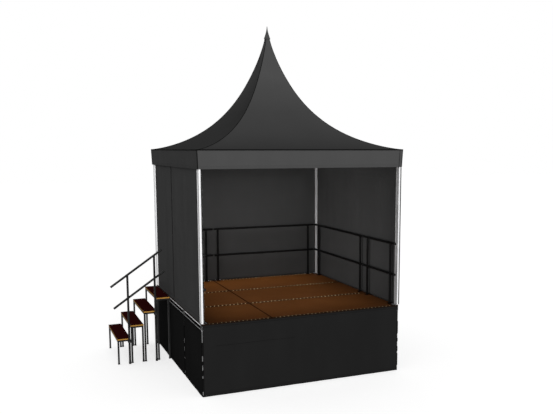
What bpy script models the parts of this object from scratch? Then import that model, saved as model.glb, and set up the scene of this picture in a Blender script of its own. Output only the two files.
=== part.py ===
"""Covered stage: a 3 x 3 m modular deck with a peaked tent, guard rails, skirts and a bench stair.

Lengths are in metres. Stage coordinates start at the deck's front-left corner on the floor: +X runs
right along the front edge, +Y runs to the rear and +Z is up. The empty stage_corner carries them, and
stands so that the object's own origin is the centre of its whole footprint on the floor.
"""

from math import atan2, cos, hypot, pi, sin, sqrt

import bmesh
import bpy
from mathutils import Matrix, Vector

# Clearances
FIT_GAP = 0.0003            # between a piece and what it rests on
MODULE_GAP = 0.0005         # from a module's nominal edge to its frame
FABRIC_GAP = 0.001          # from a skirt to the frames it hangs on
SEAM_GAP = 0.003            # between the door flap and the wall round it
SLIDE_CLEARANCE = 0.0005    # all round a spigot, a handrail post or a cable in its hole
TENT_CLEARANCE = 0.002      # under the roof membrane, over beams and posts
WELD = 0.002                # how far welded pieces run into each other
MERGE_DISTANCE = 0.00001    # corners closer than this are one corner
TUBE_RESOLUTION = 6         # 16 sides on a round bar
SMOOTH_ANGLE = 0.7          # edges flatter than this, in radians, are shaded smooth

# Deck
SHORT_MODULE = 1.0
LONG_MODULE = 2.0
MODULE_DEPTH = 1.0
DECK_HEIGHT = 1.0
ROW_NAMES = ("front", "middle", "rear")
FRAME_HEIGHT = 0.09
FRAME_WIDTH = 0.045
FRAME_LIP = 0.012
FRAME_FLANGE = 0.012
FRAME_RECESS = 0.006
BOARD_THICKNESS = 0.018
deck_width = SHORT_MODULE + LONG_MODULE
deck_depth = MODULE_DEPTH * len(ROW_NAMES)

# Leg trestles
LEG_SIDE = 0.05
LEG_INSET = 0.003
LEG_FOOT_SIDE = 0.054
LEG_FOOT_HEIGHT = 0.03
LEDGER_SIDE = 0.03
LOWER_LEDGER_HEIGHT = 0.2
UPPER_LEDGER_DROP = 0.13    # under the deck frames

# Skirts
SKIRT_THICKNESS = 0.003
SKIRT_END_GAP = 0.008
SKIRT_FLOOR_GAP = 0.002
LONG_SKIRT_TOP_GAP = 0.014

# Tent posts, eave beams and walls
POST_WIDTH = 0.04
POST_DEPTH = 0.09
BASE_PLATE_SIDE = 0.1
BASE_PLATE_THICKNESS = 0.006
BEAM_HEIGHT = 0.08
SLOT_WIDTH = 0.007
SLOT_DEPTH = 0.009
WALL_THICKNESS = 0.003
WALL_IN_SLOT = 0.006
WALL_FLOOR_GAP = 0.01

# Roof
EAVE_ABOVE_DECK = 2.3
ROOF_RISE = 1.86
EAVE_OVERHANG = 0.02
MEMBRANE_THICKNESS = 0.004
VALANCE_DROP = 0.25
VALANCE_DRAW_IN = 0.01
HIP_POWER = 1.2
HIP_SWEEP = 2.15
HIP_SWEEP_POWER = 0.75
FACE_HOLLOW = 0.05
FACE_HOLLOW_POWER = 0.8
ROUND_FROM = 0.6
ROUND_GROWTH = 1.2
ROOF_TOP_RADIUS = 0.04
ROOF_TOP_SPARE = 1.15
ROOF_ROWS = 22
ROOF_ROW_POWER = 1.5
ROOF_SIDE_STEPS = 8
VALANCE_SEAM = 0.002
eave_height = DECK_HEIGHT + EAVE_ABOVE_DECK
peak_height = eave_height + ROOF_RISE

# King pole
POLE_RADIUS = 0.021
POLE_WALL = 0.003
POLE_SHOE_RADIUS = 0.04
POLE_SHOE_HEIGHT = 0.07
POLE_SHOE_BEVEL = 0.01
POLE_BORE_SPARE = 0.02
CABLE_RADIUS = 0.005
CABLE_SPACING = 0.02
CABLE_DROP = 0.035
CABLE_END_RADIUS = 0.011
CABLE_END_LENGTH = 0.07
CABLE_END_GAP = 0.014
CAP_RADIUS = 0.048
CAP_TIP_RADIUS = 0.004
CAP_SKIRT_HEIGHT = 0.008
CAP_HOLLOW_POWER = 1.6
CAP_RINGS = 4
CAP_STUB_LENGTH = 0.06

# Door in the left wall
DOOR_WIDTH = 1.15
DOOR_HEIGHT = 2.05          # above the walls' lower edge
DOOR_POST_GAP = 0.0395      # from the doorway to the rear post
door_rear = deck_depth - MODULE_GAP - POST_DEPTH - DOOR_POST_GAP
door_front = door_rear - DOOR_WIDTH
door_head = DECK_HEIGHT + WALL_FLOOR_GAP + DOOR_HEIGHT
ZIP_WIDTH = 0.018
ZIP_LENGTH = 0.03
ZIP_THICKNESS = 0.008
ZIP_REST_HEIGHT = 0.06
ZIP_TAB_LENGTH = 0.04
ZIP_TAB_THICKNESS = 0.002

# Guard rails
RAIL_RADIUS = 0.01685
RAIL_POST_RADIUS = 0.0165
RAIL_INSET = 0.06
TOP_RAIL_HEIGHT = 0.92
MID_RAIL_HEIGHT = 0.46
RAIL_END_GAP = 0.02
RAIL_CORNER_GAP = 0.045
SHORT_RAIL_POSTS = (0.15, 0.13)         # from a module's two ends to the posts' middles
BACK_LONG_RAIL_POSTS = (0.08, 0.2)
RIGHT_LONG_RAIL_POSTS = (0.12, 0.24)
LEFT_RAIL_POSTS = (0.15, 0.17)
SPIGOT_RADIUS = 0.0125
SPIGOT_HEIGHT = 0.1
TAB_HALF_WIDTH = 0.035
TAB_THICKNESS = 0.006

# Stair
TREAD_LENGTH = 1.0
TREAD_DEPTH = 0.2
TREAD_GAP = 0.007           # seen from above, between one tread and the next
TREAD_THICKNESS = 0.018
TREAD_RISE = 0.2
TREAD_COUNT = 4
STAIR_DECK_GAP = 0.012
STAIR_REAR_INSET = 0.08     # from the deck's rear edge to the treads
STAIR_BAR = 0.025
STAIR_FRAME_INSET = 0.002
STAIR_FOOT_HEIGHT = 0.02
STAIR_FOOT_GROWTH = 0.002
stair_front = deck_depth - STAIR_REAR_INSET - TREAD_LENGTH

# Handrail of the stair
HANDRAIL_RADIUS = 0.01685
HANDRAIL_POST_RADIUS = 0.0165
HANDRAIL_OFFSET = 0.025
POST_BENCHES = (0, 2)       # the benches whose frames hold the handrail's posts
POST_SETBACK = 0.178        # from a tread's outer edge to the post's middle
HANDRAIL_ABOVE_TREAD = 1.0
RAIL_SLOPE = 0.677
RAIL_SPACING = 0.36
RAIL_LOW_END = 0.25
RAIL_HIGH_END = 0.117
MID_RAIL_SHIFT = 0.037
SLEEVE_WALL = 0.006
SLEEVE_HEIGHT = 0.04
COLLAR_RADIUS = 0.0215
COLLAR_HEIGHT = 0.01


def make_collection(name):
    collection = bpy.data.collections.new(name)
    bpy.context.scene.collection.children.link(collection)
    return collection


def make_material(name, colour, roughness, metallic=0.0):
    material = bpy.data.materials.new(name)
    material.use_nodes = True
    shader = material.node_tree.nodes["Principled BSDF"]
    shader.inputs["Base Color"].default_value = (*colour, 1.0)
    shader.inputs["Roughness"].default_value = roughness
    shader.inputs["Metallic"].default_value = metallic
    material.diffuse_color = (*colour, 1.0)
    return material


def anodised_aluminium(name):
    return make_material(name, (0.72, 0.73, 0.74), 0.35, 1.0)


def stage_plywood(name):
    return make_material(name, (0.07, 0.024, 0.007), 0.55)


def maroon_plywood(name):
    return make_material(name, (0.017, 0.0, 0.002), 0.5)


def black_steel(name):
    return make_material(name, (0.012, 0.013, 0.014), 0.4, 0.6)


def charcoal_fabric(name):
    return make_material(name, (0.035, 0.035, 0.037), 0.8)


def skirt_fabric(name):
    return make_material(name, (0.012, 0.012, 0.013), 0.9)


def zinc_plated(name):
    return make_material(name, (0.5, 0.51, 0.52), 0.3, 1.0)


def helper(name, mesh, place=(0, 0, 0)):
    """Puts a mesh in the helpers collection, where it waits to be cut, joined or finished."""
    piece = bpy.data.objects.new(name, mesh)
    piece.location = place
    piece.hide_render = True
    piece.display_type = "WIRE"
    helpers.objects.link(piece)
    return piece


def mesh_from(bm, name):
    mesh = bpy.data.meshes.new(name)
    bm.to_mesh(mesh)
    bm.free()
    return mesh


def box(low, high):
    """A block from its lowest corner to its highest one."""
    low, high = Vector(low), Vector(high)
    bm = bmesh.new()
    bmesh.ops.create_cube(bm, size=1.0, matrix=Matrix.Diagonal((*(high - low), 1.0)))
    return helper("box", mesh_from(bm, "box"), (low + high) / 2)


def upright(foot, height, radius, sides=20):
    """A cylinder that stands on the point foot."""
    bm = bmesh.new()
    lift = Matrix.Translation((0, 0, height / 2)) @ Matrix.Rotation(pi / sides, 4, "Z")
    bmesh.ops.create_cone(bm, cap_ends=True, segments=sides, radius1=radius, radius2=radius,
                          depth=height, matrix=lift)
    return helper("upright", mesh_from(bm, "upright"), foot)


def square_frustum(centre, foot, height, half_foot, half_top):
    """A block on a square foot whose sides lean, so that its top is a square of another size."""
    bm = bmesh.new()
    turn = Matrix.Translation((0, 0, height / 2)) @ Matrix.Rotation(pi / 4, 4, "Z")
    bmesh.ops.create_cone(bm, cap_ends=True, segments=4, radius1=half_foot * sqrt(2),
                          radius2=half_top * sqrt(2), depth=height, matrix=turn)
    return helper("frustum", mesh_from(bm, "frustum"), (*centre, foot))


def curve_to_mesh(curve):
    """Makes a mesh of a curve object, with its caps welded on."""
    source = bpy.data.objects.new("guide", curve)
    helpers.objects.link(source)
    graph = bpy.context.evaluated_depsgraph_get()
    mesh = bpy.data.meshes.new_from_object(source.evaluated_get(graph))
    bpy.data.objects.remove(source)
    bpy.data.curves.remove(curve)
    bm = bmesh.new()
    bm.from_mesh(mesh)
    bmesh.ops.remove_doubles(bm, verts=bm.verts, dist=MERGE_DISTANCE)
    bmesh.ops.recalc_face_normals(bm, faces=bm.faces)
    bm.to_mesh(mesh)
    bm.free()
    return helper("from_curve", mesh)


def tube(points, radius):
    """A round bar along straight runs, with flat ends."""
    curve = bpy.data.curves.new("tube", "CURVE")
    curve.dimensions = "3D"
    curve.bevel_depth = radius
    curve.bevel_resolution = TUBE_RESOLUTION
    curve.use_fill_caps = True
    spline = curve.splines.new("POLY")
    spline.points.add(len(points) - 1)
    for point, place in zip(spline.points, points):
        point.co = (*place, 1.0)
    return curve_to_mesh(curve)


def turned(profile, place, steps=24):
    """A body of revolution about Z, from a profile that runs down its outer side."""
    bm = bmesh.new()
    corners = [bm.verts.new((radius, 0.0, height)) for radius, height in profile]
    for upper, lower in zip(corners, corners[1:]):
        bm.edges.new((upper, lower))
    piece = helper("turned", mesh_from(bm, "turned"), place)
    screw = piece.modifiers.new("turn", "SCREW")
    screw.steps = steps
    screw.render_steps = steps
    screw.use_merge_vertices = True
    screw.merge_threshold = MERGE_DISTANCE
    return apply_modifiers(piece)


def apply_modifiers(piece):
    graph = bpy.context.evaluated_depsgraph_get()
    mesh = bpy.data.meshes.new_from_object(piece.evaluated_get(graph))
    old_mesh = piece.data
    piece.modifiers.clear()
    piece.data = mesh
    bpy.data.meshes.remove(old_mesh)
    return piece


def merge_slivers(mesh):
    """Merges the corners that a Boolean leaves a hair apart where faces of two pieces are flush."""
    bm = bmesh.new()
    bm.from_mesh(mesh)
    bmesh.ops.remove_doubles(bm, verts=bm.verts, dist=MERGE_DISTANCE)
    bmesh.ops.dissolve_degenerate(bm, edges=bm.edges, dist=MERGE_DISTANCE)
    bm.to_mesh(mesh)
    bm.free()


def combine(body, operation, tools):
    """Joins the tools to the body, or cuts them out of it, and takes the tools away."""
    for tool in tools:
        step = body.modifiers.new("combine", "BOOLEAN")
        step.operation = operation
        step.solver = "EXACT"
        step.object = tool
    apply_modifiers(body)
    merge_slivers(body.data)
    for tool in tools:
        mesh = tool.data
        bpy.data.objects.remove(tool)
        bpy.data.meshes.remove(mesh)
    return body


def weld(body, *tools):
    return combine(body, "UNION", tools)


def cut(body, *tools):
    return combine(body, "DIFFERENCE", tools)


def finish(piece, name, material, pivot=None, smooth=False):
    """Names a piece, gives it its own material and, where it moves, puts its origin on its axis."""
    if pivot is not None:
        shift = piece.location - Vector(pivot)
        piece.data.transform(Matrix.Translation(shift))
        piece.location = pivot
    piece.name = name
    piece.data.name = name
    piece.data.materials.clear()
    piece.data.materials.append(material(name))
    if smooth:
        piece.data.shade_smooth()
        piece.data.set_sharp_from_angle(angle=SMOOTH_ANGLE)
    piece.hide_render = False
    piece.display_type = "TEXTURED"
    helpers.objects.unlink(piece)
    stage.objects.link(piece)
    piece.parent = stage_corner
    return piece


# Deck modules: an aluminium frame with a rebated board, and tabs with spigots where rails stand

def posts_between(start, end, insets):
    return start + insets[0], end - insets[1]


def rail_feet():
    """Where each guard rail stands: name, run along X or Y, side line, ends and its two posts."""
    rear_line = deck_depth - RAIL_INSET
    right_line = deck_width - RAIL_INSET
    corner_end = deck_width - RAIL_INSET - RAIL_RADIUS - RAIL_END_GAP
    return (
        ("guard_rail_back_short", "X", rear_line, RAIL_INSET, SHORT_MODULE - RAIL_END_GAP,
         posts_between(0.0, SHORT_MODULE, SHORT_RAIL_POSTS)),
        ("guard_rail_back_long", "X", rear_line, SHORT_MODULE + RAIL_END_GAP, corner_end,
         posts_between(SHORT_MODULE, deck_width, BACK_LONG_RAIL_POSTS)),
        ("guard_rail_right_long", "Y", right_line, MODULE_DEPTH + RAIL_END_GAP,
         deck_depth - RAIL_CORNER_GAP, posts_between(MODULE_DEPTH, deck_depth, RIGHT_LONG_RAIL_POSTS)),
        ("guard_rail_right_short", "Y", right_line, RAIL_END_GAP, MODULE_DEPTH - RAIL_END_GAP,
         posts_between(0.0, MODULE_DEPTH, SHORT_RAIL_POSTS)),
        ("guard_rail_left", "Y", RAIL_INSET, RAIL_END_GAP, door_front - 2 * RAIL_END_GAP,
         posts_between(0.0, door_front, LEFT_RAIL_POSTS)),
    )


def rail_point(run, line, along):
    return (along, line) if run == "X" else (line, along)


def spigot_places():
    """Every guard-rail post: its place on the deck and the way to the nearest deck edge."""
    places = []
    for _, run, line, _, _, posts in rail_feet():
        towards = 1 if line > 0.5 * (deck_depth if run == "X" else deck_width) else -1
        for along in posts:
            places.append((rail_point(run, line, along), run, towards))
    return places


def spigot(place, run, towards):
    """A tab on the frame's lip that reaches in over the board and carries an upright spigot."""
    x, y = place
    tab_low = DECK_HEIGHT + FIT_GAP
    tab_high = tab_low + TAB_THICKNESS
    to_edge = RAIL_INSET - MODULE_GAP - WELD
    to_lip = RAIL_INSET - FRAME_LIP + WELD / 2
    if run == "X":
        ends = sorted((y - towards * TAB_HALF_WIDTH, y + towards * to_edge))
        tab = box((x - TAB_HALF_WIDTH, ends[0], tab_low), (x + TAB_HALF_WIDTH, ends[1], tab_high))
        ends = sorted((y + towards * to_lip, y + towards * to_edge))
        heel = box((x - TAB_HALF_WIDTH + WELD, ends[0], DECK_HEIGHT - FRAME_LIP / 2),
                   (x + TAB_HALF_WIDTH - WELD, ends[1], tab_high - WELD))
    else:
        ends = sorted((x - towards * TAB_HALF_WIDTH, x + towards * to_edge))
        tab = box((ends[0], y - TAB_HALF_WIDTH, tab_low), (ends[1], y + TAB_HALF_WIDTH, tab_high))
        ends = sorted((x + towards * to_lip, x + towards * to_edge))
        heel = box((ends[0], y - TAB_HALF_WIDTH + WELD, DECK_HEIGHT - FRAME_LIP / 2),
                   (ends[1], y + TAB_HALF_WIDTH - WELD, tab_high - WELD))
    pin = upright((x, y, tab_high - WELD), SPIGOT_HEIGHT + WELD, SPIGOT_RADIUS, 16)
    return heel, tab, pin


def deck_frame(x0, x1, y0, y1):
    """A square-cornered ring with a rebate for the board and a shallow channel round its outside."""
    low = DECK_HEIGHT - FRAME_HEIGHT
    x0, x1, y0, y1 = x0 + MODULE_GAP, x1 - MODULE_GAP, y0 + MODULE_GAP, y1 - MODULE_GAP
    ring = box((x0, y0, low), (x1, y1, DECK_HEIGHT))
    ledge = DECK_HEIGHT - BOARD_THICKNESS - FIT_GAP
    well = box((x0 + FRAME_WIDTH, y0 + FRAME_WIDTH, low - WELD),
               (x1 - FRAME_WIDTH, y1 - FRAME_WIDTH, DECK_HEIGHT + WELD))
    rebate = box((x0 + FRAME_LIP, y0 + FRAME_LIP, ledge),
                 (x1 - FRAME_LIP, y1 - FRAME_LIP, DECK_HEIGHT + WELD))
    groove_low, groove_high = low + FRAME_FLANGE, DECK_HEIGHT - FRAME_FLANGE
    outside = box((x0 - WELD, y0 - WELD, groove_low), (x1 + WELD, y1 + WELD, groove_high))
    core = box((x0 + FRAME_RECESS, y0 + FRAME_RECESS, groove_low - WELD),
               (x1 - FRAME_RECESS, y1 - FRAME_RECESS, groove_high + WELD))
    cut(outside, core)
    cut(ring, well, rebate, outside)
    pins = []
    for place, run, towards in spigot_places():
        if x0 < place[0] < x1 and y0 < place[1] < y1:
            pins.extend(spigot(place, run, towards))
    return weld(ring, *pins) if pins else ring


def deck_board(x0, x1, y0, y1):
    inset = MODULE_GAP + FRAME_LIP + FIT_GAP
    return box((x0 + inset, y0 + inset, DECK_HEIGHT - BOARD_THICKNESS),
               (x1 - inset, y1 - inset, DECK_HEIGHT))


def build_deck():
    columns = (("left", 0.0, SHORT_MODULE), ("right", SHORT_MODULE, deck_width))
    for row, row_name in enumerate(ROW_NAMES):
        y0, y1 = row * MODULE_DEPTH, (row + 1) * MODULE_DEPTH
        for side, x0, x1 in columns:
            frame = deck_frame(x0, x1, y0, y1)
            finish(frame, f"deck_frame_{side}_{row_name}", anodised_aluminium)
            board = deck_board(x0, x1, y0, y1)
            finish(board, f"deck_board_{side}_{row_name}", stage_plywood)


# Leg trestles: three legs joined by two ledgers under each line where modules meet

def leg_span(line, width):
    """The low and high side of a leg on a module line, kept inside the deck's outline."""
    low = min(max(line - LEG_SIDE / 2, LEG_INSET), width - LEG_INSET - LEG_SIDE)
    return low, low + LEG_SIDE


def leg_trestle(line):
    top = DECK_HEIGHT - FRAME_HEIGHT - FIT_GAP
    y0, y1 = leg_span(line, deck_depth)
    pieces = []
    grow = (LEG_FOOT_SIDE - LEG_SIDE) / 2
    for column in (0.0, SHORT_MODULE, deck_width):
        x0, x1 = leg_span(column, deck_width)
        pieces.append(box((x0, y0, LEG_FOOT_HEIGHT / 2), (x1, y1, top)))
        pieces.append(box((x0 - grow, y0 - grow, 0), (x1 + grow, y1 + grow, LEG_FOOT_HEIGHT)))
    middle = (y0 + y1) / 2
    first, last = LEG_INSET + LEG_SIDE / 2, deck_width - LEG_INSET - LEG_SIDE / 2
    upper_ledger = DECK_HEIGHT - FRAME_HEIGHT - UPPER_LEDGER_DROP
    for height in (LOWER_LEDGER_HEIGHT, upper_ledger):
        pieces.append(box((first, middle - LEDGER_SIDE / 2, height - LEDGER_SIDE / 2),
                          (last, middle + LEDGER_SIDE / 2, height + LEDGER_SIDE / 2)))
    return weld(*pieces)


def build_trestles():
    for number in range(len(ROW_NAMES) + 1):
        trestle = leg_trestle(number * MODULE_DEPTH)
        finish(trestle, f"leg_trestle_{number + 1}", anodised_aluminium)


# Skirts: one cloth across the front and the back, and one panel a module at each side

def build_skirts():
    outer = FABRIC_GAP + SKIRT_THICKNESS - MODULE_GAP
    inner = FABRIC_GAP - MODULE_GAP
    long_top = DECK_HEIGHT - LONG_SKIRT_TOP_GAP
    side_top = DECK_HEIGHT - FRAME_HEIGHT
    x0, x1 = SKIRT_END_GAP, deck_width - SKIRT_END_GAP
    for name, y0, y1 in (("skirt_front", -outer, -inner),
                         ("skirt_back", deck_depth + inner, deck_depth + outer)):
        cloth = box((x0, y0, SKIRT_FLOOR_GAP), (x1, y1, long_top))
        finish(cloth, name, skirt_fabric)
    for side, x0, x1 in (("left", -outer, -inner),
                         ("right", deck_width + inner, deck_width + outer)):
        for number in range(len(ROW_NAMES)):
            y0 = number * MODULE_DEPTH + SKIRT_END_GAP
            y1 = (number + 1) * MODULE_DEPTH - SKIRT_END_GAP
            panel = box((x0, y0, SKIRT_FLOOR_GAP), (x1, y1, side_top))
            finish(panel, f"skirt_{side}_{number + 1}", skirt_fabric)


# Tent posts and eave beams: slotted aluminium extrusions

tent_top = eave_height - MEMBRANE_THICKNESS - TENT_CLEARANCE
beam_low = tent_top - BEAM_HEIGHT
post_near = MODULE_GAP
wall_line = post_near + POST_WIDTH / 2


def slotted_bar(low, high, run, slots):
    """A bar along axis number run, with slots that hold a fabric's edge.

    Each slot gives the axis and the side (-1 or 1) of the face that it opens on, and its middle's
    place on the remaining axis.
    """
    cutters = []
    for face, side, middle in slots:
        across = 3 - run - face
        slot_low, slot_high = [0.0] * 3, [0.0] * 3
        slot_low[run], slot_high[run] = low[run] - WELD, high[run] + WELD
        slot_low[across], slot_high[across] = middle - SLOT_WIDTH / 2, middle + SLOT_WIDTH / 2
        edge = high[face] if side > 0 else low[face]
        slot_low[face], slot_high[face] = sorted((edge + side * WELD, edge - side * SLOT_DEPTH))
        cutters.append(box(slot_low, slot_high))
    return cut(box(low, high), *cutters)


def near_or_far(far, width, depth):
    """The low and high side of a tent bar that is depth wide at the near or the far deck edge."""
    low = width - post_near - depth if far else post_near
    return low, low + depth


def tent_post(at_right, at_rear):
    """A slotted post on a base plate in a corner of the deck."""
    plate_low = DECK_HEIGHT + FIT_GAP
    plate_high = plate_low + BASE_PLATE_THICKNESS
    x0, x1 = near_or_far(at_right, deck_width, POST_WIDTH)
    y0, y1 = near_or_far(at_rear, deck_depth, POST_DEPTH)
    slots = [(1, side, (x0 + x1) / 2) for side in (-1, 1)]
    slots += [(0, side, y) for side in (-1, 1) for y in (y0 + POST_WIDTH / 2, y1 - POST_WIDTH / 2)]
    shaft = slotted_bar((x0, y0, plate_high - WELD), (x1, y1, tent_top), 2, slots)
    x0, x1 = near_or_far(at_right, deck_width, BASE_PLATE_SIDE)
    y0, y1 = near_or_far(at_rear, deck_depth, BASE_PLATE_SIDE)
    return weld(box((x0, y0, plate_low), (x1, y1, plate_high)), shaft)


def eave_beam(along_x, far):
    """A slotted beam between two posts."""
    if along_x:
        near = post_near + POST_WIDTH + FIT_GAP
        y0, y1 = near_or_far(far, deck_depth, POST_WIDTH)
        low, high = (near, y0, beam_low), (deck_width - near, y1, tent_top)
        return slotted_bar(low, high, 0, [(2, side, (y0 + y1) / 2) for side in (-1, 1)])
    near = post_near + POST_DEPTH + FIT_GAP
    x0, x1 = near_or_far(far, deck_width, POST_WIDTH)
    low, high = (x0, near, beam_low), (x1, deck_depth - near, tent_top)
    return slotted_bar(low, high, 1, [(2, side, (x0 + x1) / 2) for side in (-1, 1)])


def build_tent_frame():
    for side, at_right in (("left", False), ("right", True)):
        for end, at_rear in (("front", False), ("rear", True)):
            finish(tent_post(at_right, at_rear), f"tent_post_{end}_{side}", anodised_aluminium)
    for name, along_x, far in (("front", True, False), ("back", True, True),
                               ("left", False, False), ("right", False, True)):
        finish(eave_beam(along_x, far), f"eave_beam_{name}", anodised_aluminium)


# Roof membrane, valance and peak cap

roof_centre = (deck_width / 2, deck_depth / 2)
eave_half_x = deck_width / 2 + EAVE_OVERHANG
eave_half_y = deck_depth / 2 + EAVE_OVERHANG


def hip_share(rise):
    """How far out the hip lies at a share of the peak's rise: 1 at the eave, 0 at the peak."""
    return (1 - rise) ** HIP_POWER / (1 + HIP_SWEEP * rise ** HIP_SWEEP_POWER)


def roof_top_rise():
    """The share of the rise where the membrane ends, as wide as its round top opening."""
    low, high = ROUND_FROM, 1.0
    half_side = ROOF_TOP_RADIUS / sqrt(2) * ROOF_TOP_SPARE
    for _ in range(40):
        middle = (low + high) / 2
        if hip_share(middle) * min(eave_half_x, eave_half_y) > half_side:
            low = middle
        else:
            high = middle
    return low


roof_top = roof_top_rise()
roof_top_height = eave_height + ROOF_RISE * roof_top


def roof_point(rise, turn):
    """A point of the membrane: turn runs from 0 to 4 round the four sides, from the front-left hip.

    Each level is a square that shrinks up the hip curve. Its sides are drawn in between the hips, most
    at mid height, and towards the top opening it becomes a circle.
    """
    share = hip_share(rise)
    side, along = int(turn) % 4, (turn - int(turn)) * 2 - 1
    hollow = sin(pi * min(rise / roof_top, 1.0)) ** FACE_HOLLOW_POWER
    drawn_in = FACE_HOLLOW * (1 - along * along) * hollow
    across = -(1 - drawn_in)
    square = ((along, across), (-across, along), (-along, -across), (across, -along))[side]
    angle = atan2(square[1], square[0])
    rounding = max(0.0, (rise / roof_top - ROUND_FROM) / (1 - ROUND_FROM)) ** 2
    radius = share * min(eave_half_x, eave_half_y) * ROUND_GROWTH
    if rounding == 1.0:
        radius = ROOF_TOP_RADIUS
    flat_x, flat_y = square[0] * share * eave_half_x, square[1] * share * eave_half_y
    x = flat_x + (cos(angle) * radius - flat_x) * rounding
    y = flat_y + (sin(angle) * radius - flat_y) * rounding
    return (x, y, eave_height + ROOF_RISE * rise)


def roof_membrane():
    """A loft between the square eave and the round top opening, as thick as the membrane inwards."""
    bm = bmesh.new()
    rows = []
    round_steps = 4 * ROOF_SIDE_STEPS
    for row in range(ROOF_ROWS + 1):
        rise = roof_top * (row / ROOF_ROWS) ** ROOF_ROW_POWER
        turns = (step / ROOF_SIDE_STEPS for step in range(round_steps))
        rows.append([bm.verts.new(roof_point(rise, turn)) for turn in turns])
    for lower, upper in zip(rows, rows[1:]):
        for step in range(round_steps):
            after = (step + 1) % round_steps
            bm.faces.new((lower[step], lower[after], upper[after], upper[step]))
    piece = helper("membrane", mesh_from(bm, "membrane"), (*roof_centre, 0))
    wall = piece.modifiers.new("thickness", "SOLIDIFY")
    wall.thickness = MEMBRANE_THICKNESS
    wall.offset = -1
    wall.use_even_offset = True
    return apply_modifiers(piece)


def valance():
    """A band that hangs from the eave all round and is drawn in a little at its lower hem."""
    top = eave_height - MEMBRANE_THICKNESS - VALANCE_SEAM
    foot = eave_height - VALANCE_DROP
    height = top - foot
    half = min(eave_half_x, eave_half_y)
    lean = VALANCE_DRAW_IN * (height + 2 * WELD) / height
    outer = square_frustum(roof_centre, foot, height, half - VALANCE_DRAW_IN, half)
    inner_top = half - MEMBRANE_THICKNESS
    inner = square_frustum(roof_centre, foot - WELD, height + 2 * WELD, inner_top - lean, inner_top)
    if deck_width != deck_depth:
        grow = Matrix.Diagonal((eave_half_x / half, eave_half_y / half, 1.0, 1.0))
        outer.data.transform(grow)
        inner.data.transform(grow)
    return cut(outer, inner)


def peak_cap():
    """A thin spike that closes the membrane's top opening, with a stub in the king pole's end."""
    tip = peak_height - roof_top_height - FIT_GAP
    stub = POLE_RADIUS - POLE_WALL - SLIDE_CLEARANCE
    profile = [(0.0, tip), (CAP_TIP_RADIUS, tip - CAP_TIP_RADIUS)]
    for ring in range(1, CAP_RINGS + 1):
        share = ring / CAP_RINGS
        radius = CAP_TIP_RADIUS + (CAP_RADIUS - CAP_TIP_RADIUS) * share ** CAP_HOLLOW_POWER
        profile.append((radius, (tip - CAP_TIP_RADIUS) * (1 - share) + CAP_SKIRT_HEIGHT * share))
    profile += [(CAP_RADIUS, 0.0), (stub, 0.0), (stub, -CAP_STUB_LENGTH), (0.0, -CAP_STUB_LENGTH)]
    return turned(profile, (*roof_centre, roof_top_height + FIT_GAP))


def build_roof():
    finish(roof_membrane(), "roof_membrane", charcoal_fabric, smooth=True)
    finish(valance(), "valance", charcoal_fabric)
    finish(peak_cap(), "peak_cap", black_steel, smooth=True)


# King pole on two cables that cross through its shoe

upper_cable_height = beam_low - CABLE_DROP + CABLE_SPACING / 2
lower_cable_height = upper_cable_height - CABLE_SPACING


def cable_ends(rising):
    """The two ends of a cable, at the inner faces of the posts at opposite corners."""
    x = post_near + POST_WIDTH + CABLE_END_GAP
    y = post_near + POST_DEPTH / 2 + CABLE_END_GAP
    if rising:
        return (x, y), (deck_width - x, deck_depth - y)
    return (x, deck_depth - y), (deck_width - x, y)


def king_pole():
    foot = lower_cable_height - (POLE_SHOE_HEIGHT - CABLE_SPACING) / 2
    top = roof_top_height - foot
    bore = POLE_RADIUS - POLE_WALL
    bore_floor = top - CAP_STUB_LENGTH - POLE_BORE_SPARE
    profile = [(0.0, bore_floor), (bore, bore_floor), (bore, top), (POLE_RADIUS, top),
               (POLE_RADIUS, POLE_SHOE_HEIGHT + POLE_SHOE_BEVEL), (POLE_SHOE_RADIUS, POLE_SHOE_HEIGHT),
               (POLE_SHOE_RADIUS, 0.0), (0.0, 0.0)]
    pole = turned(profile, (*roof_centre, foot))
    holes = []
    for rising, height in ((True, upper_cable_height), (False, lower_cable_height)):
        (x0, y0), (x1, y1) = cable_ends(rising)
        direction = Vector((x1 - x0, y1 - y0, 0)).normalized() * POLE_SHOE_RADIUS * 1.5
        middle = Vector((*roof_centre, height))
        holes.append(tube((middle - direction, middle + direction), CABLE_RADIUS + SLIDE_CLEARANCE))
    return cut(pole, *holes)


def cross_cable(rising, height):
    (x0, y0), (x1, y1) = cable_ends(rising)
    start, end = Vector((x0, y0, height)), Vector((x1, y1, height))
    step = (end - start).normalized() * CABLE_END_LENGTH
    rope = tube((start + step / 2, end - step / 2), CABLE_RADIUS)
    return weld(rope, tube((start, start + step), CABLE_END_RADIUS),
                tube((end - step, end), CABLE_END_RADIUS))


def build_king_pole():
    finish(king_pole(), "king_pole", anodised_aluminium, smooth=True)
    finish(cross_cable(True, upper_cable_height), "cross_cable_upper", zinc_plated, smooth=True)
    finish(cross_cable(False, lower_cable_height), "cross_cable_lower", zinc_plated, smooth=True)


# Walls, which hang in the beams' lower slots and in the posts' slots

def wall_sides(along_x):
    """The two ends of a wall, each one inside a post's slot."""
    post = POST_WIDTH if along_x else POST_DEPTH
    near = post_near + post - WALL_IN_SLOT
    return near, (deck_width if along_x else deck_depth) - near


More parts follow.
